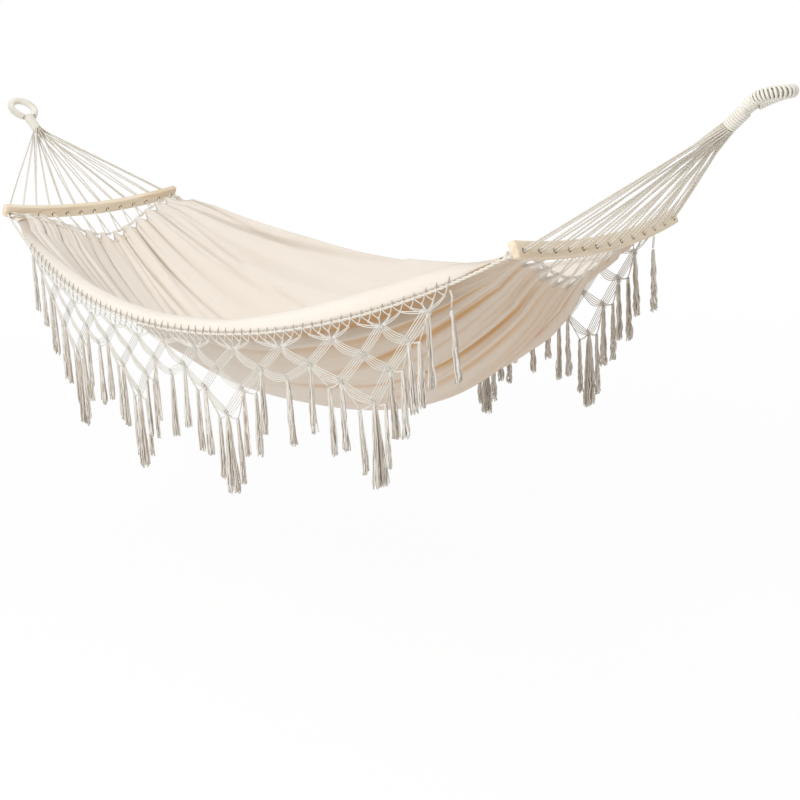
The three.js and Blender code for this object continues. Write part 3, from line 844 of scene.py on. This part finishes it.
# Bed cloth: creases that run in from each hole, small pleats beside them and broad folds
BROAD_FOLDS = 30
crease_strength = chance.uniform(0.45, 1.25, (2, HOLE_COUNT))
crease_reach = chance.uniform(0.10, 0.42, (2, HOLE_COUNT))
crease_drift = chance.uniform(-0.10, 0.10, (2, HOLE_COUNT))
pleat_offset = chance.uniform(0.018, 0.060, (2, HOLE_COUNT, 2)) * np.array([-1, 1])
notch_size = chance.uniform(0.50, 1.06, (2, HOLE_COUNT))
notch_offset = chance.uniform(-0.006, 0.006, (2, HOLE_COUNT))
broad_place = chance.uniform(-0.97, 0.97, (2, BROAD_FOLDS))
broad_width = 0.012 + 0.075 * chance.uniform(0, 1, (2, BROAD_FOLDS)) ** 2
broad_depth = chance.uniform(-0.14, 0.17, (2, BROAD_FOLDS)) * (0.03 + broad_width)
broad_depth = broad_depth * np.array([[1.0], [1.7]])
broad_reach = chance.uniform(0.35, 1.05, (2, BROAD_FOLDS))
broad_drift = chance.uniform(-0.25, 0.25, (2, BROAD_FOLDS))


# Widths across the cloth at a hole, and how they grow away from it; the bed's half width is 1
CREASE_WIDTH = (0.009, 0.040)
SHARP_WIDTH = (0.007, 0.016)
PLEAT_WIDTH = (0.006, 0.012)
CREASE_DEPTH = 0.006
CREASE_DEEPENS = 0.05  # over the bed's half length, but only as far as DEEPEST_AT of it
DEEPEST_AT = 0.14
PLEAT_DEPTH = 0.003


def fading(offset, width, power):
    return np.exp(-np.abs(offset / width) ** power)


def widening(width, away):
    return width[0] + width[1] * away


def fold_depth(row, across):
    """How far the folds sink below the smooth cloth, in metres, and how strong the painted shade along
    their sharp creases and pleats is.
    """
    sunk = np.zeros(row.shape)
    crease_shade = np.zeros(row.shape)
    for end, sign in enumerate((-1, 1)):
        away = np.clip(1 - sign * row, 0, None)
        half = sign * row > 0
        crease_depth = CREASE_DEPTH + CREASE_DEEPENS * np.minimum(away, DEEPEST_AT)
        for crease in range(HOLE_COUNT):
            strength, reach = crease_strength[end, crease], crease_reach[end, crease]
            middle = crease * 2 / (HOLE_COUNT - 1) - 1
            centre = middle * (1 - 0.12 * away) + crease_drift[end, crease] * away
            fade = fading(away, reach, 1.3)
            hollow = half * fading(across - centre, widening(CREASE_WIDTH, away), 1.15)
            sharp = half * fading(across - centre, widening(SHARP_WIDTH, away), 1.3)
            sunk += hollow * fade * strength * crease_depth
            # Painted shade along the sharp line of each crease.
            crease_shade += sharp * fade * strength
            pleat_fade = fading(away, 0.35 * reach, 1.6)
            for offset in pleat_offset[end, crease]:
                beside = centre + offset * (1 + away)
                pleat = half * fading(across - beside, widening(PLEAT_WIDTH, away), 1.3) * pleat_fade
                sunk += pleat * PLEAT_DEPTH
                # Painted shade along each small pleat.
                crease_shade += pleat * 0.6
        for fold in range(BROAD_FOLDS):
            centre = broad_place[end, fold] + broad_drift[end, fold] * away
            line = fading(across - centre, broad_width[end, fold] * (0.6 + 1.6 * away), 2)
            fade = fading(away, broad_reach[end, fold], 3)
            sunk += half * line * fade * broad_depth[end, fold] * np.minimum(away * 5 + 0.05, 1)
    return sunk, np.clip(crease_shade, 0, 1)


# Bed cloth: its grid of rows and columns, and the tunnels at its ends, notched at each hole
CLOTH_THICKNESS = 0.0012
CLOTH_ROWS = 118
ROW_CROWDING = 0.90  # how far the rows crowd towards the two ends
INNER_COLUMNS = 261
LIP_COLUMNS = 8
SEAM_DEPTH = 0.040  # gather cord to the seam of its tunnel
TUNNEL_RADIUS = 0.0046
TUNNEL_TAPER = 0.022  # over which the tunnel closes
NOTCH_DEPTH = 0.036
NOTCH_HALF = 0.0195
NOTCH_FLATTENS = 0.010  # depth of notch at which the tunnel is flat
NOTCH_OPENS = 0.03  # depth of notch at which the upper layer begins in the notch itself
NOTCH_REACH = 0.095  # how far into the bed a notch pushes the cloth
NOTCHED_ROWS = 12
HALF_BED = 0.86  # roughly, level, from an end of the cloth to its middle
BLEND_START = 0.02  # where the rows begin to follow the smooth surface again
BLEND_LENGTH = 0.07
LIP_CALM_SHARE = 0.7  # of the folds' depth, lost at the hem
END_CALM = 0.012  # share of the half length in which the folds begin
DARK_HOLLOW = 0.009  # depth below the neighbours at which the painted shade is full, from inside
DARK_RIDGE = 0.0035  # the same for a height above them, from outside
UPPER_SHARES = (0.95, 0.85, 0.7, 0.55, 0.4, 0.25, 0.12, 0.0)
LOWER_SHARES = (0.15, 0.35, 0.6, 0.8, 1.0)


def cloth_columns():
    """Places across the bed from hem to hem, and how far round the lip each of them lies."""
    lips = np.linspace(1, 0, LIP_COLUMNS + 1)[:-1]
    inner = np.linspace(-1, 1, INNER_COLUMNS)
    across = np.concatenate([np.full(LIP_COLUMNS, -1.0), inner, np.full(LIP_COLUMNS, 1.0)])
    return across, np.concatenate([lips, np.zeros(len(inner)), lips[::-1]])


column_across, column_lip = cloth_columns()
cord_y = (BED_END_WIDTH / 2) * column_across
end_y = cord_y + np.sign(column_across) * LIP_REACH_END * np.sin(column_lip * np.pi / 2)
end_drop = LIP_DROP_END * column_lip ** 2


def notch_depths():
    """How deep the notches are at each column, for the left end and the right one."""
    holes = np.array([hole_y(hole) * BED_END_WIDTH / HOLE_SPAN for hole in range(HOLE_COUNT)])
    nearest = np.abs(end_y[:, None] - holes - notch_offset[:, None, :])
    shape = np.clip(1 - (nearest / NOTCH_HALF) ** 1.15, 0, 1)
    return (NOTCH_DEPTH * notch_size[:, None, :] * shape).max(axis=2)


notches = notch_depths()
open_share = np.clip(1 - notches / NOTCH_FLATTENS, 0, 1)
tunnel_radii = CLOTH_THICKNESS + (TUNNEL_RADIUS - CLOTH_THICKNESS) * open_share


def end_line(distance, height):
    """One line of cloth across an end, so far inboard of the gather cord and so high above it."""
    inward = inboard(cord_y)
    upward = np.stack([inward[:, 2], 0 * end_y, -inward[:, 0]], axis=-1)
    line = bed_end(cord_y, distance) + upward * height[:, None]
    line[:, 1] = end_y
    line[:, 2] -= end_drop
    return line


def roundness(distance):
    share = np.clip(distance / TUNNEL_TAPER, 0, 1)
    return 1 - share * share * (3 - 2 * share)


def tunnel_lines(notch, radius):
    """The upper layer runs back to the tunnel, turns round the gather cord and returns below."""
    lines = []
    for share in UPPER_SHARES:
        distance = notch + share * CLOTH_START * np.clip(1 - notch / NOTCH_OPENS, 0, 1)
        lines.append(end_line(distance, radius * roundness(distance - notch)))
    for turn in np.radians(np.linspace(25, 180, 7)):
        lines.append(end_line(notch - radius * math.sin(turn), radius * math.cos(turn)))
    for share in LOWER_SHARES:
        distance = notch + share * (SEAM_DEPTH - notch)
        lines.append(end_line(distance, -radius * roundness(distance - notch) - CLOTH_THICKNESS))
    return np.array(lines)


def push_in_notches(surface, rows, normal, sunk):
    """Near the ends the surface's own rows give way where a notch is deeper than they lie."""
    for end in range(2):
        notch, radius = notches[end], tunnel_radii[end]
        for step in range(NOTCHED_ROWS):
            index = -1 - step if end else step
            depth = CLOTH_START + (1 - abs(rows[index])) * HALF_BED
            if depth >= NOTCH_REACH:
                continue
            wanted = notch + (depth - CLOTH_START) * (NOTCH_REACH - notch) / NOTCH_REACH
            wanted = wanted + CLOTH_START * (1 - notch / NOTCH_REACH)
            line = end_line(wanted, radius * roundness(wanted - notch))
            if not end:
                line = line * MIRRORED
            blend = np.clip((depth - BLEND_START) / BLEND_LENGTH, 0, 1)
            mixed = line * (1 - blend) + surface[index] * blend
            surface[index] = mixed - normal[index] * (sunk[index] * (1 - blend) * 0.8)[:, None]


def beyond_neighbours(values, reach):
    """How far each value lies above the mean of its neighbours across the cloth."""
    weights = np.hanning(2 * reach + 3)[1:-1]
    weights /= weights.sum()
    wider = np.pad(values, ((0, 0), (reach, reach)), mode="edge")
    mean = np.array([np.convolve(line, weights, "valid") for line in wider])
    return values - mean


def fold_shading(row, sunk, crease_shade, lines):
    """The painted shade of the folds on the cloth's inner side and on its outer one, for the whole grid:
    in hollows, on ridges seen from outside, along creases and on the notched flanks.
    """
    hollow = beyond_neighbours(sunk, 11)
    right_shade_share = np.clip(row * 2, 0, 1)
    inside = np.clip(hollow / DARK_HOLLOW, 0, 0.45) + 0.85 * crease_shade
    outside = np.clip(-hollow / DARK_RIDGE, 0, 1) * (0.6 + 0.4 * right_shade_share) + 0.5 * crease_shade
    # Painted shade on the flanks of each notch, at both ends.
    notch_shade = np.clip(notches / NOTCH_DEPTH, 0, 1) ** 0.5
    left, right = (np.repeat(look[None, :], lines, axis=0) for look in notch_shade)
    return [np.concatenate([left, middle, right]).ravel() for middle in (inside, outside)]


def add_cloth():
    rows = np.sin(np.linspace(-1, 1, CLOTH_ROWS) * math.pi / 2 * ROW_CROWDING)
    rows /= rows[-1]
    row, across = np.meshgrid(rows, column_across, indexing="ij")
    lip = np.broadcast_to(column_lip, row.shape)
    surface = bed_point(row, across, lip)
    normal = np.cross(np.gradient(surface, axis=0), np.gradient(surface, axis=1))
    normal /= np.linalg.norm(normal, axis=2)[..., None]
    sunk, crease_shade = fold_depth(row, across)
    sunk = sunk * (1 - lip * LIP_CALM_SHARE)
    ends_flat = np.clip((1 - np.abs(row)) / END_CALM, 0, 1)
    surface = surface - normal * (sunk * ends_flat)[..., None]
    push_in_notches(surface, rows, normal, sunk)

    left_lines, right_lines = map(tunnel_lines, notches, tunnel_radii)
    grid = np.concatenate([(left_lines * MIRRORED)[::-1], surface, right_lines], axis=0)
    shape = grid.shape[:2]
    at = np.arange(shape[0] - 1)[:, None] * shape[1] + np.arange(shape[1] - 1)
    faces = np.stack([at, at + shape[1], at + shape[1] + 1, at + 1], axis=-1).reshape(-1, 4)
    runs = np.cumsum(np.linalg.norm(np.diff(grid, axis=0), axis=2), axis=0)
    lengthwise = np.concatenate([np.zeros((1, shape[1])), runs])
    widthwise = steps_along(surface[CLOTH_ROWS // 2])
    flat = np.stack([lengthwise, np.broadcast_to(widthwise, shape)], axis=-1).reshape(-1, 2)
    corners = in_place(grid.reshape(-1, 3))
    cloth = new_piece("canvas_bed", corners, faces.tolist(), flat[faces], CANVAS)

    apply_modifier(cloth, "SOLIDIFY", thickness=CLOTH_THICKNESS, offset=0)
    shell = np.array([corner.co[:] for corner in cloth.data.vertices])
    count = shape[0] * shape[1]
    inner_first = shell[:count, 2].mean() > shell[count:2 * count, 2].mean()
    order = 1 if inner_first else -1
    looks = fold_shading(row, sunk, crease_shade, len(left_lines))
    # The painted fold shade, for the inner side and the outer side of the cloth.
    set_attribute(cloth, "fold", np.concatenate(looks[::order]))
    set_attribute(cloth, "inside", np.repeat([1.0, 0.0][::order], count))
    belongs(cloth, "bed", "canvas", "bed_cloth")
    return cloth, float(widthwise[-1]), float(lengthwise[-1, shape[1] // 2])


cloth, cloth_width, cloth_length = add_cloth()

TUNNEL_CORD_RADIUS = GATHER_CORD_DIAMETER * 0.28  # thinner than it is packed, so that its tunnel hides it


def add_gather_cord(left, end):
    reach = BED_END_WIDTH / 2 + (HAIRPIN_WIDTH + STRAND_DIAMETER) / 2
    route = in_place(bed_end(np.linspace(-reach, reach, 240), 0.0), left)
    cord = one_cord(f"{end}_tunnel_cord", STRAND, route, TUNNEL_CORD_RADIUS, 6, 0.1)
    belongs(cord, "bed", "cotton_cord", f"{end}_gather_cord")


for is_left, end_name in ENDS:
    add_gather_cord(is_left, end_name)


# Edges: two cords laid round each other under each hem, from bar to bar
ROPE_CLEARANCE = 0.0007
ROPE_BELOW = ROPE_CLEARANCE + EDGE_ROPE_DIAMETER / 2
ROPE_INSET = 0.002  # from a bar's end
ROPE_CORD_RADIUS = 0.0021
ROPE_CORD_OFFSET = 0.0019
ROPE_TURNS = 70


def hem_side(row, side, below):
    """Places beyond the hem, in the direction in which the lip ends."""
    across = np.full(np.shape(row), float(side))
    hem = bed_point(row, across, np.ones(np.shape(row)))
    outward = hem - bed_point(row, across, np.full(np.shape(row), 0.5))
    outward[..., 0] = 0
    outward /= np.linalg.norm(outward, axis=-1)[..., None]
    return hem + outward * below


def edge_route(side):
    points = hem_side(np.linspace(-1, 1, 160), side, ROPE_BELOW)
    face = BAR_THICKNESS / 2 + ROPE_CLEARANCE
    rope_y = side * (BAR_LENGTH / 2 - EDGE_ROPE_DIAMETER / 2 - ROPE_INSET)
    bar = np.array([BAR_X, rope_y, 0])
    right = np.array([bar - HOLE_AXIS * reach for reach in (face + EDGE_ROPE_DIAMETER, face)])
    return np.vstack([right[::-1] * MIRRORED, points, right])


def add_edge_rope(side, name):
    route = spaced(edge_route(side), 900)
    across, up = ring_frames(route)
    cords = Cords()
    for start in (0, math.pi):
        angle = np.linspace(0, 2 * math.pi * ROPE_TURNS, len(route)) + start
        offset = across * np.cos(angle)[:, None] + up * np.sin(angle)[:, None]
        cords.add(in_place(route + offset * ROPE_CORD_OFFSET), ROPE_CORD_RADIUS, 6, 0.2)
    belongs(cords.piece(f"{name}_hem_rope", STRAND), "bed", "cotton_cord", f"{name}_edge_rope")


add_edge_rope(-1, "front")
add_edge_rope(1, "back")


# Fringe, drawn flat as (place along the hem, drop below it, way out from it)
SWAG_PERIOD = 2 * SWAG_HALF_COLUMNS
SWAG_COUNT = len(FRONT_SWAG_CENTRES)
SWAG_ROWS = len(NET_ROW_SHARES) - 1
HEM_REACH = float(bed_end(BED_END_WIDTH / 2, CLOTH_START)[0])
NET_SKEW = 0.12  # how far the net slides along the hem for each metre up from its lowest knots
NET_LEAN = 0.105  # how far it leans to the back for each metre down
NET_FOOT = HEADING_HEIGHT + NET_DEPTH
BAND_CORDS = 5
CORD_SIDES = 5
NET_CORD_RADIUS = 0.0012
TAUT_PITCH = 0.0050  # between the cords of a taut band
SLACK_PITCH = 0.0028
SLACK_SAG = 0.007
BAND_LAYER = 0.0014  # how far the taut bands lie before the slack ones, each from the middle
HEADING_CORD_RADIUS = 0.00115
STITCH_PITCH = 0.026
THREAD_RADIUS = 0.0013
STITCH_TOP = -0.022  # above the lower side of the edge rope
STITCH_HEIGHT = 0.028
FIRST_LOOP_TOP = -0.006
FIRST_KNOT_DROP = 0.015
TWIN_OFFSET = 0.0012  # of two cords that run side by side
FAN_REACH = 0.075  # along the hem, from a first knot to the net's knots
END_TASSEL_DROP = 0.040
ARCH_LEVEL = 0.035  # knots nearer than this in height carry no tassel between them
TASSEL_DROP = 0.004
TASSEL_STRAND_RADIUS = 0.0016
TASSEL_NECK_RADIUS = 0.0024
TASSEL_NECK_SHARE = 0.10
COLLAR_RADIUS = 0.0036
COLLAR_TURNS = 4
COLLAR_START = 0.003
COLLAR_LENGTH = 0.010
STRAND_WAVE = 0.0017
STRAND_SWAY = 0.0022
SWAG_TASSEL = (46, 0.036)  # strands, width
NET_TASSEL = (18, 0.019)
ARCH_TASSEL = (15, 0.017)
TASSEL_LEAN = 3  # degrees, at the right end


def fringe_columns(ends, swag_centres):
    places = [ends[0]]
    for index, target in enumerate((*swag_centres, ends[1])):
        count = END_COLUMNS if index in (0, SWAG_COUNT) else SWAG_PERIOD
        start = places[-1]
        places += [start + (target - start) * step / count for step in range(1, count + 1)]
    return places


def swags_away(column):
    return [abs(column - END_COLUMNS - swag * SWAG_PERIOD) for swag in range(SWAG_COUNT)]


def is_arch(column):
    return swags_away(column).count(SWAG_HALF_COLUMNS) == 2


def net_rows(column):
    return SWAG_ROWS - 1 if is_arch(column) else SWAG_ROWS - min(swags_away(column))


def knot_drop(column, row):
    share = ARCH_SHARE if is_arch(column) and row == net_rows(column) else NET_ROW_SHARES[row]
    return HEADING_HEIGHT + NET_DEPTH * share


def tassel_lean(x, spread):
    left, right = FRONT_FRINGE_ENDS
    lean = math.radians(TASSEL_LEAN * (x - left) / (right - left))
    return lean + math.radians(chance.uniform(-spread, spread))


class Fringe:
    def __init__(self, side):
        self.side = side
        if side == -1:
            self.columns = fringe_columns(FRONT_FRINGE_ENDS, FRONT_SWAG_CENTRES)
        else:
            self.columns = fringe_columns(BACK_FRINGE_ENDS, BACK_SWAG_CENTRES)
        self.net = Cords()
        self.tassels = Cords()

    def hung(self, flat, hangs_from=None):
        """Flat drawing to the part's frame; below the knot that it hangs from, nothing skews."""
        flat = np.atleast_2d(np.array(flat, float))
        skewed = flat[:, 1] if hangs_from is None else np.minimum(flat[:, 1], hangs_from)
        x = flat[:, 0] + NET_SKEW * np.minimum(skewed - NET_FOOT, 0)
        hem = hem_side(x / HEM_REACH, self.side, ROPE_BELOW)
        top = hem[:, 2] - EDGE_ROPE_DIAMETER / 2
        y = hem[:, 1] + self.side * flat[:, 2] + NET_LEAN * np.clip(skewed, 0, NET_FOOT)
        return in_place(np.stack([x, y, top - flat[:, 1]], axis=-1))

    def cord(self, flat, radius, shade, into=None, hangs_from=None):
        (into or self.net).add(self.hung(flat, hangs_from), radius, CORD_SIDES, shade)

    def slack(self, start, end, sag, out, shade, shift=0.0):
        """A thin cord that sags between two places."""
        share = np.linspace(0, 1, 7)
        line = between(start, end, share)
        line[:, 1] += sag * np.sin(share * math.pi) + shift
        self.cord(np.column_stack([line, out + 0 * share]), HEADING_CORD_RADIUS, shade)

    def has(self, column, row):
        inside = 0 <= column < len(self.columns) and 0 <= row <= net_rows(column)
        return inside and (column - END_COLUMNS + row) % 2 == 0

    def knot(self, column, row):
        return np.array([self.columns[column], knot_drop(column, row)])

    def stitch_pitch(self):
        """Number of stitches along the hem, and the way from one to the next."""
        first, last = self.columns[0], self.columns[-1]
        count = int((last - first) / STITCH_PITCH)
        return count, (last - first) / count

    def band(self, upper, lower, straight):
        """A band of cords between two knots, flat and taut or slack and behind the other one."""
        across = lower - upper
        side = np.array([across[1], -across[0]]) / np.linalg.norm(across)
        share = np.linspace(0, 1, 9)
        swell = np.sin(share * math.pi)
        lag = chance.uniform(0.8, 1.2)
        for cord in range(BAND_CORDS):
            place = cord - (BAND_CORDS - 1) / 2
            if straight:
                offset = place * (TAUT_PITCH + 0.0004 * swell) * lag
                sag = 0.001 * swell
                out = BAND_LAYER + 0 * share
            else:
                offset = place * (SLACK_PITCH + 0.0036 * swell)
                sag = (SLACK_SAG + 0.0014 * cord) * swell * lag
                out = -BAND_LAYER + 0.002 * np.sin(share * 2 * math.pi)
            line = between(upper, lower, share) + side * offset[:, None]
            line[:, 1] += sag
            flat = np.column_stack([line, out + chance.uniform(-0.0004, 0.0004)])
            self.cord(flat, NET_CORD_RADIUS, chance.uniform(0.0, 0.5))

    def ridge(self, centre, along, length=0.018, turns=6, radius=0.0022):
        """A row of hitches along a crossing."""
        share = np.linspace(-0.5, 0.5, turns * 8)
        angle = share * turns * 2 * math.pi
        direction = along / np.linalg.norm(along)
        normal = np.array([direction[1], -direction[0]])
        line = centre + direction * (share * length)[:, None] + normal * (radius * np.cos(angle))[:, None]
        flat = np.column_stack([line, NET_CORD_RADIUS + radius * np.sin(angle)])
        self.cord(flat, NET_CORD_RADIUS, chance.uniform(0.1, 0.4))

    def tassel(self, x, drop, length, strands, width, lean):
        """Loose strands that open from a collar."""
        share = np.linspace(0, 1, 19)
        opening = 0.30 + 0.70 * np.clip((share - TASSEL_NECK_SHARE) / 0.75, 0, 1)
        neck_opening = 0.30 * share / TASSEL_NECK_SHARE
        opening = np.where(share < TASSEL_NECK_SHARE, neck_opening, opening)
        for strand in range(strands):
            start_angle = chance.uniform(0, 2 * math.pi)
            start_radius = TASSEL_NECK_RADIUS * math.sqrt(chance.uniform(0, 1))
            end_radius = width / 2 * math.sqrt(chance.uniform(0, 1))
            turn = chance.uniform(-0.6, 0.6)
            reach = start_radius + (end_radius - start_radius) * opening
            angle = start_angle + turn * share
            wave = STRAND_WAVE * np.sin(share * chance.uniform(16, 30) + chance.uniform(0, 6)) * opening
            sway = STRAND_SWAY * np.sin(share * chance.uniform(4, 9) + chance.uniform(0, 6)) * share
            along = reach * np.cos(angle) + wave + sway + math.tan(lean) * length * share
            out = 0.75 * reach * np.sin(angle) + 0.7 * wave
            fall = drop + share * length * chance.uniform(0.93, 1.0)
            flat = np.column_stack([x + along, fall, out])
            shade = chance.uniform(0, 1.15) ** 1.6
            self.cord(flat, TASSEL_STRAND_RADIUS, shade, self.tassels, drop)
        angle = np.linspace(0, COLLAR_TURNS * 2 * math.pi, COLLAR_TURNS * 8)
        collar = np.column_stack([
            x + COLLAR_RADIUS * np.cos(angle),
            drop + COLLAR_START + COLLAR_LENGTH * angle / angle[-1],
            COLLAR_RADIUS * np.sin(angle),
        ])
        self.cord(collar, THREAD_RADIUS, 0.35, None, drop)

    def heading(self):
        """Small loops below the hem, a knot under each, and cords that fan out to the net."""
        count, pitch = self.stitch_pitch()
        first_knots = [
            np.array([self.columns[0] + (step + 0.5) * pitch, FIRST_KNOT_DROP])
            for step in range(count)
        ]
        share = np.linspace(0, 1, 6)
        for knot in first_knots:
            for way in (-1, 1):
                start = np.array([knot[0] + way * pitch / 2, FIRST_LOOP_TOP])
                line = between(start, knot, share)
                line[:, 0] += way * 0.0018 * np.sin(share * math.pi)
                self.cord(np.column_stack([line, 0.0052 - 0.004 * share]), HEADING_CORD_RADIUS, 0.1)
            self.ridge(knot, np.array([0.2, 1.0]), 0.006, 2, 0.0020)
        goals = [self.knot(column, 1) for column in range(len(self.columns)) if self.has(column, 1)]
        for knot in first_knots:
            for way in (-1, 1):
                ahead = [goal for goal in goals if 0 <= way * (goal[0] - knot[0]) <= FAN_REACH]
                if not ahead:
                    continue
                goal = min(ahead, key=lambda place: abs(place[0] - knot[0]))
                for shift in (-TWIN_OFFSET, TWIN_OFFSET):
                    self.slack(knot, goal, 0.003 + shift, 0.001 * way, chance.uniform(0, 0.3), shift)

    def weave(self):
        self.heading()
        for column in range(len(self.columns)):
            for row in range(1, net_rows(column) + 1):
                if not self.has(column, row):
                    continue
                knot = self.knot(column, row)
                for step in (-1, 1):
                    if self.has(column + step, row + 1):
                        self.band(knot, self.knot(column + step, row + 1), step == -1)
                self.ridge(knot, np.array([0.75, 0.66]))

    def lowest_knots(self):
        """Place, drop and row of the lowest knot of each column; the last one hangs on two cords."""
        knots = []
        for column, x in enumerate(self.columns):
            row = net_rows(column)
            while not self.has(column, row):
                row -= 1
            knots.append((x, knot_drop(column, row), row))
        x, drop, row = knots[-1]
        last_x, last_drop = x - NET_SKEW * END_TASSEL_DROP, drop + END_TASSEL_DROP
        line = np.array([[x, drop], [x + 0.002, drop + 0.015], [last_x, last_drop]])
        for twin in (-1, 1):
            flat = np.column_stack([line + [0.0014 * twin, 0], [0.001 * twin] * 3])
            self.cord(flat, NET_CORD_RADIUS, 0.2)
        knots[-1] = (last_x, last_drop, row)
        return knots

    def hang(self):
        """A tassel at each lowest knot, and one on an arch of cord where the net's edge steps."""
        knots = self.lowest_knots()
        for x, drop, row in knots:
            lean = tassel_lean(x, 1.2)
            if row == SWAG_ROWS:
                self.tassel(x, drop + TASSEL_DROP, SWAG_TASSEL_LENGTH, *SWAG_TASSEL, lean)
            else:
                length = TASSEL_LENGTH * chance.uniform(0.93, 1.03)
                self.tassel(x, drop + TASSEL_DROP, length, *NET_TASSEL, lean)
        for before, after in zip(knots[:-1], knots[1:]):
            x = (before[0] + after[0]) / 2 + chance.uniform(-0.004, 0.004)
            if abs(before[1] - after[1]) < ARCH_LEVEL:
                continue
            arch = np.array([x, max(before[1], after[1]) + 0.010])
            for knot in (before, after):
                for out in (-0.001, 0.001):
                    self.slack(np.array(knot[:2]), arch, 0.004 + out, out, 0.2)
            lean = tassel_lean(x, 1.5)
            length = TASSEL_LENGTH * chance.uniform(0.88, 1.0)
            self.tassel(x, arch[1], length, *ARCH_TASSEL, lean)

    def stitches(self, name):
        """Dark whipping stitches that hold the heading on the hem."""
        thread = Cords()
        count, pitch = self.stitch_pitch()
        share = np.linspace(0, 1, 6)
        drop = STITCH_TOP + STITCH_HEIGHT * share
        out = 0.0030 - 0.0075 * (1 - share) ** 1.5 + 0.0022 * np.sin(share * math.pi)
        for step in range(count + 1):
            x = self.columns[0] + step * pitch
            slant = (0.0030 if step % 2 else -0.0012) + chance.uniform(-0.001, 0.001)
            flat = np.column_stack([x + slant * (share - 0.5) * 2, drop, out])
            thread.add(self.hung(flat), THREAD_RADIUS, CORD_SIDES, chance.uniform(0, 0.8))
        return thread.piece(name, STITCH)


def add_fringe(side, name):
    fringe = Fringe(side)
    fringe.weave()
    fringe.hang()
    body = f"{name}_fringe"
    net = fringe.net.piece(f"{name}_knotted_net", NET)
    tassels = fringe.tassels.piece(f"{name}_tassels", TASSEL)
    hem = hem_side(np.array([0.0]), side, ROPE_BELOW)[0]
    for piece in (net, tassels):
        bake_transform(piece)
    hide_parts(body)
    belongs(fringe.stitches(f"{name}_hem_stitches"), "bed", "fringe_cotton")


add_fringe(-1, "front")
add_fringe(1, "back")


# Floor and light
FLOOR_DROP = 0.45  # below the lowest tassel
FLOOR_WIDTH = 60
FLOOR_COLOUR = (0.95, 0.95, 0.95, 1)
WHITE = (1, 1, 1, 1)
WORLD_LIGHT = 0.68
AIM = (MIDDLE[0], 0, -0.55)


def add_floor():
    low = cad_box[0][2] - FLOOR_DROP
    select_none()
    bpy.ops.mesh.primitive_plane_add(size=FLOOR_WIDTH, location=(MIDDLE[0], 0, low))
    floor = bpy.context.active_object
    floor.name = "floor"
    finish = Finish("pale_floor", 0.9)
    finish.colour(FLOOR_COLOUR)
    length = finish.node("ShaderNodeVectorMath", {"operation": "LENGTH"}, {0: finish.objects()}, 1)
    away = ((length - 2.0) * 0.3).clamped()
    seen = finish.node("ShaderNodeLightPath", output="Is Camera Ray") * (away * 0.07 + 0.93)
    lit = Value(finish, finish.shader.outputs[0])
    white = finish.node("ShaderNodeEmission")
    mixed = finish.node("ShaderNodeMixShader", None, {0: seen, 1: lit, 2: white})
    finish.feed(finish.tree.nodes["Material Output"], {"Surface": mixed})
    floor.data.materials.append(finish.material)


def add_light(name, place, size, power):
    data = bpy.data.lights.new(name, "AREA")
    data.shape = "DISK"
    data.size = size
    data.energy = power
    lamp = bpy.data.objects.new(name, data)
    bpy.context.scene.collection.objects.link(lamp)
    place = Vector(place)
    turn = (Vector(AIM) - place).to_track_quat("-Z", "Y").to_matrix().to_4x4()
    lamp.matrix_world = Matrix.Translation(place) @ turn


def add_world():
    """Even light, and plain white where the camera or a reflection sees it."""
    world = bpy.data.worlds.new("studio")
    bpy.context.scene.world = world
    sky = Nodes(world)
    background = sky.tree.nodes["Background"]
    sky.feed(background, {"Color": WHITE, "Strength": WORLD_LIGHT})
    light = Value(sky, background.outputs[0])
    white = sky.node("ShaderNodeBackground", None, {"Color": WHITE, "Strength": 1.0})
    camera_ray = sky.node("ShaderNodeLightPath", output="Is Camera Ray")
    glossy_ray = sky.node("ShaderNodeLightPath", output="Is Glossy Ray")
    seen = camera_ray.math("MAXIMUM", camera_ray, glossy_ray)
    mixed = sky.node("ShaderNodeMixShader", None, {0: seen, 1: light, 2: white})
    sky.feed(sky.tree.nodes["World Output"], {"Surface": mixed})


add_floor()
add_world()
add_light("key", place=(MIDDLE[0] + 0.6, -3.2, 1.7), size=2.4, power=76)
add_light("overhead", place=(MIDDLE[0] - 0.4, 0.4, 2.8), size=2.5, power=14)

bpy.context.scene.view_settings.view_transform = "Standard"
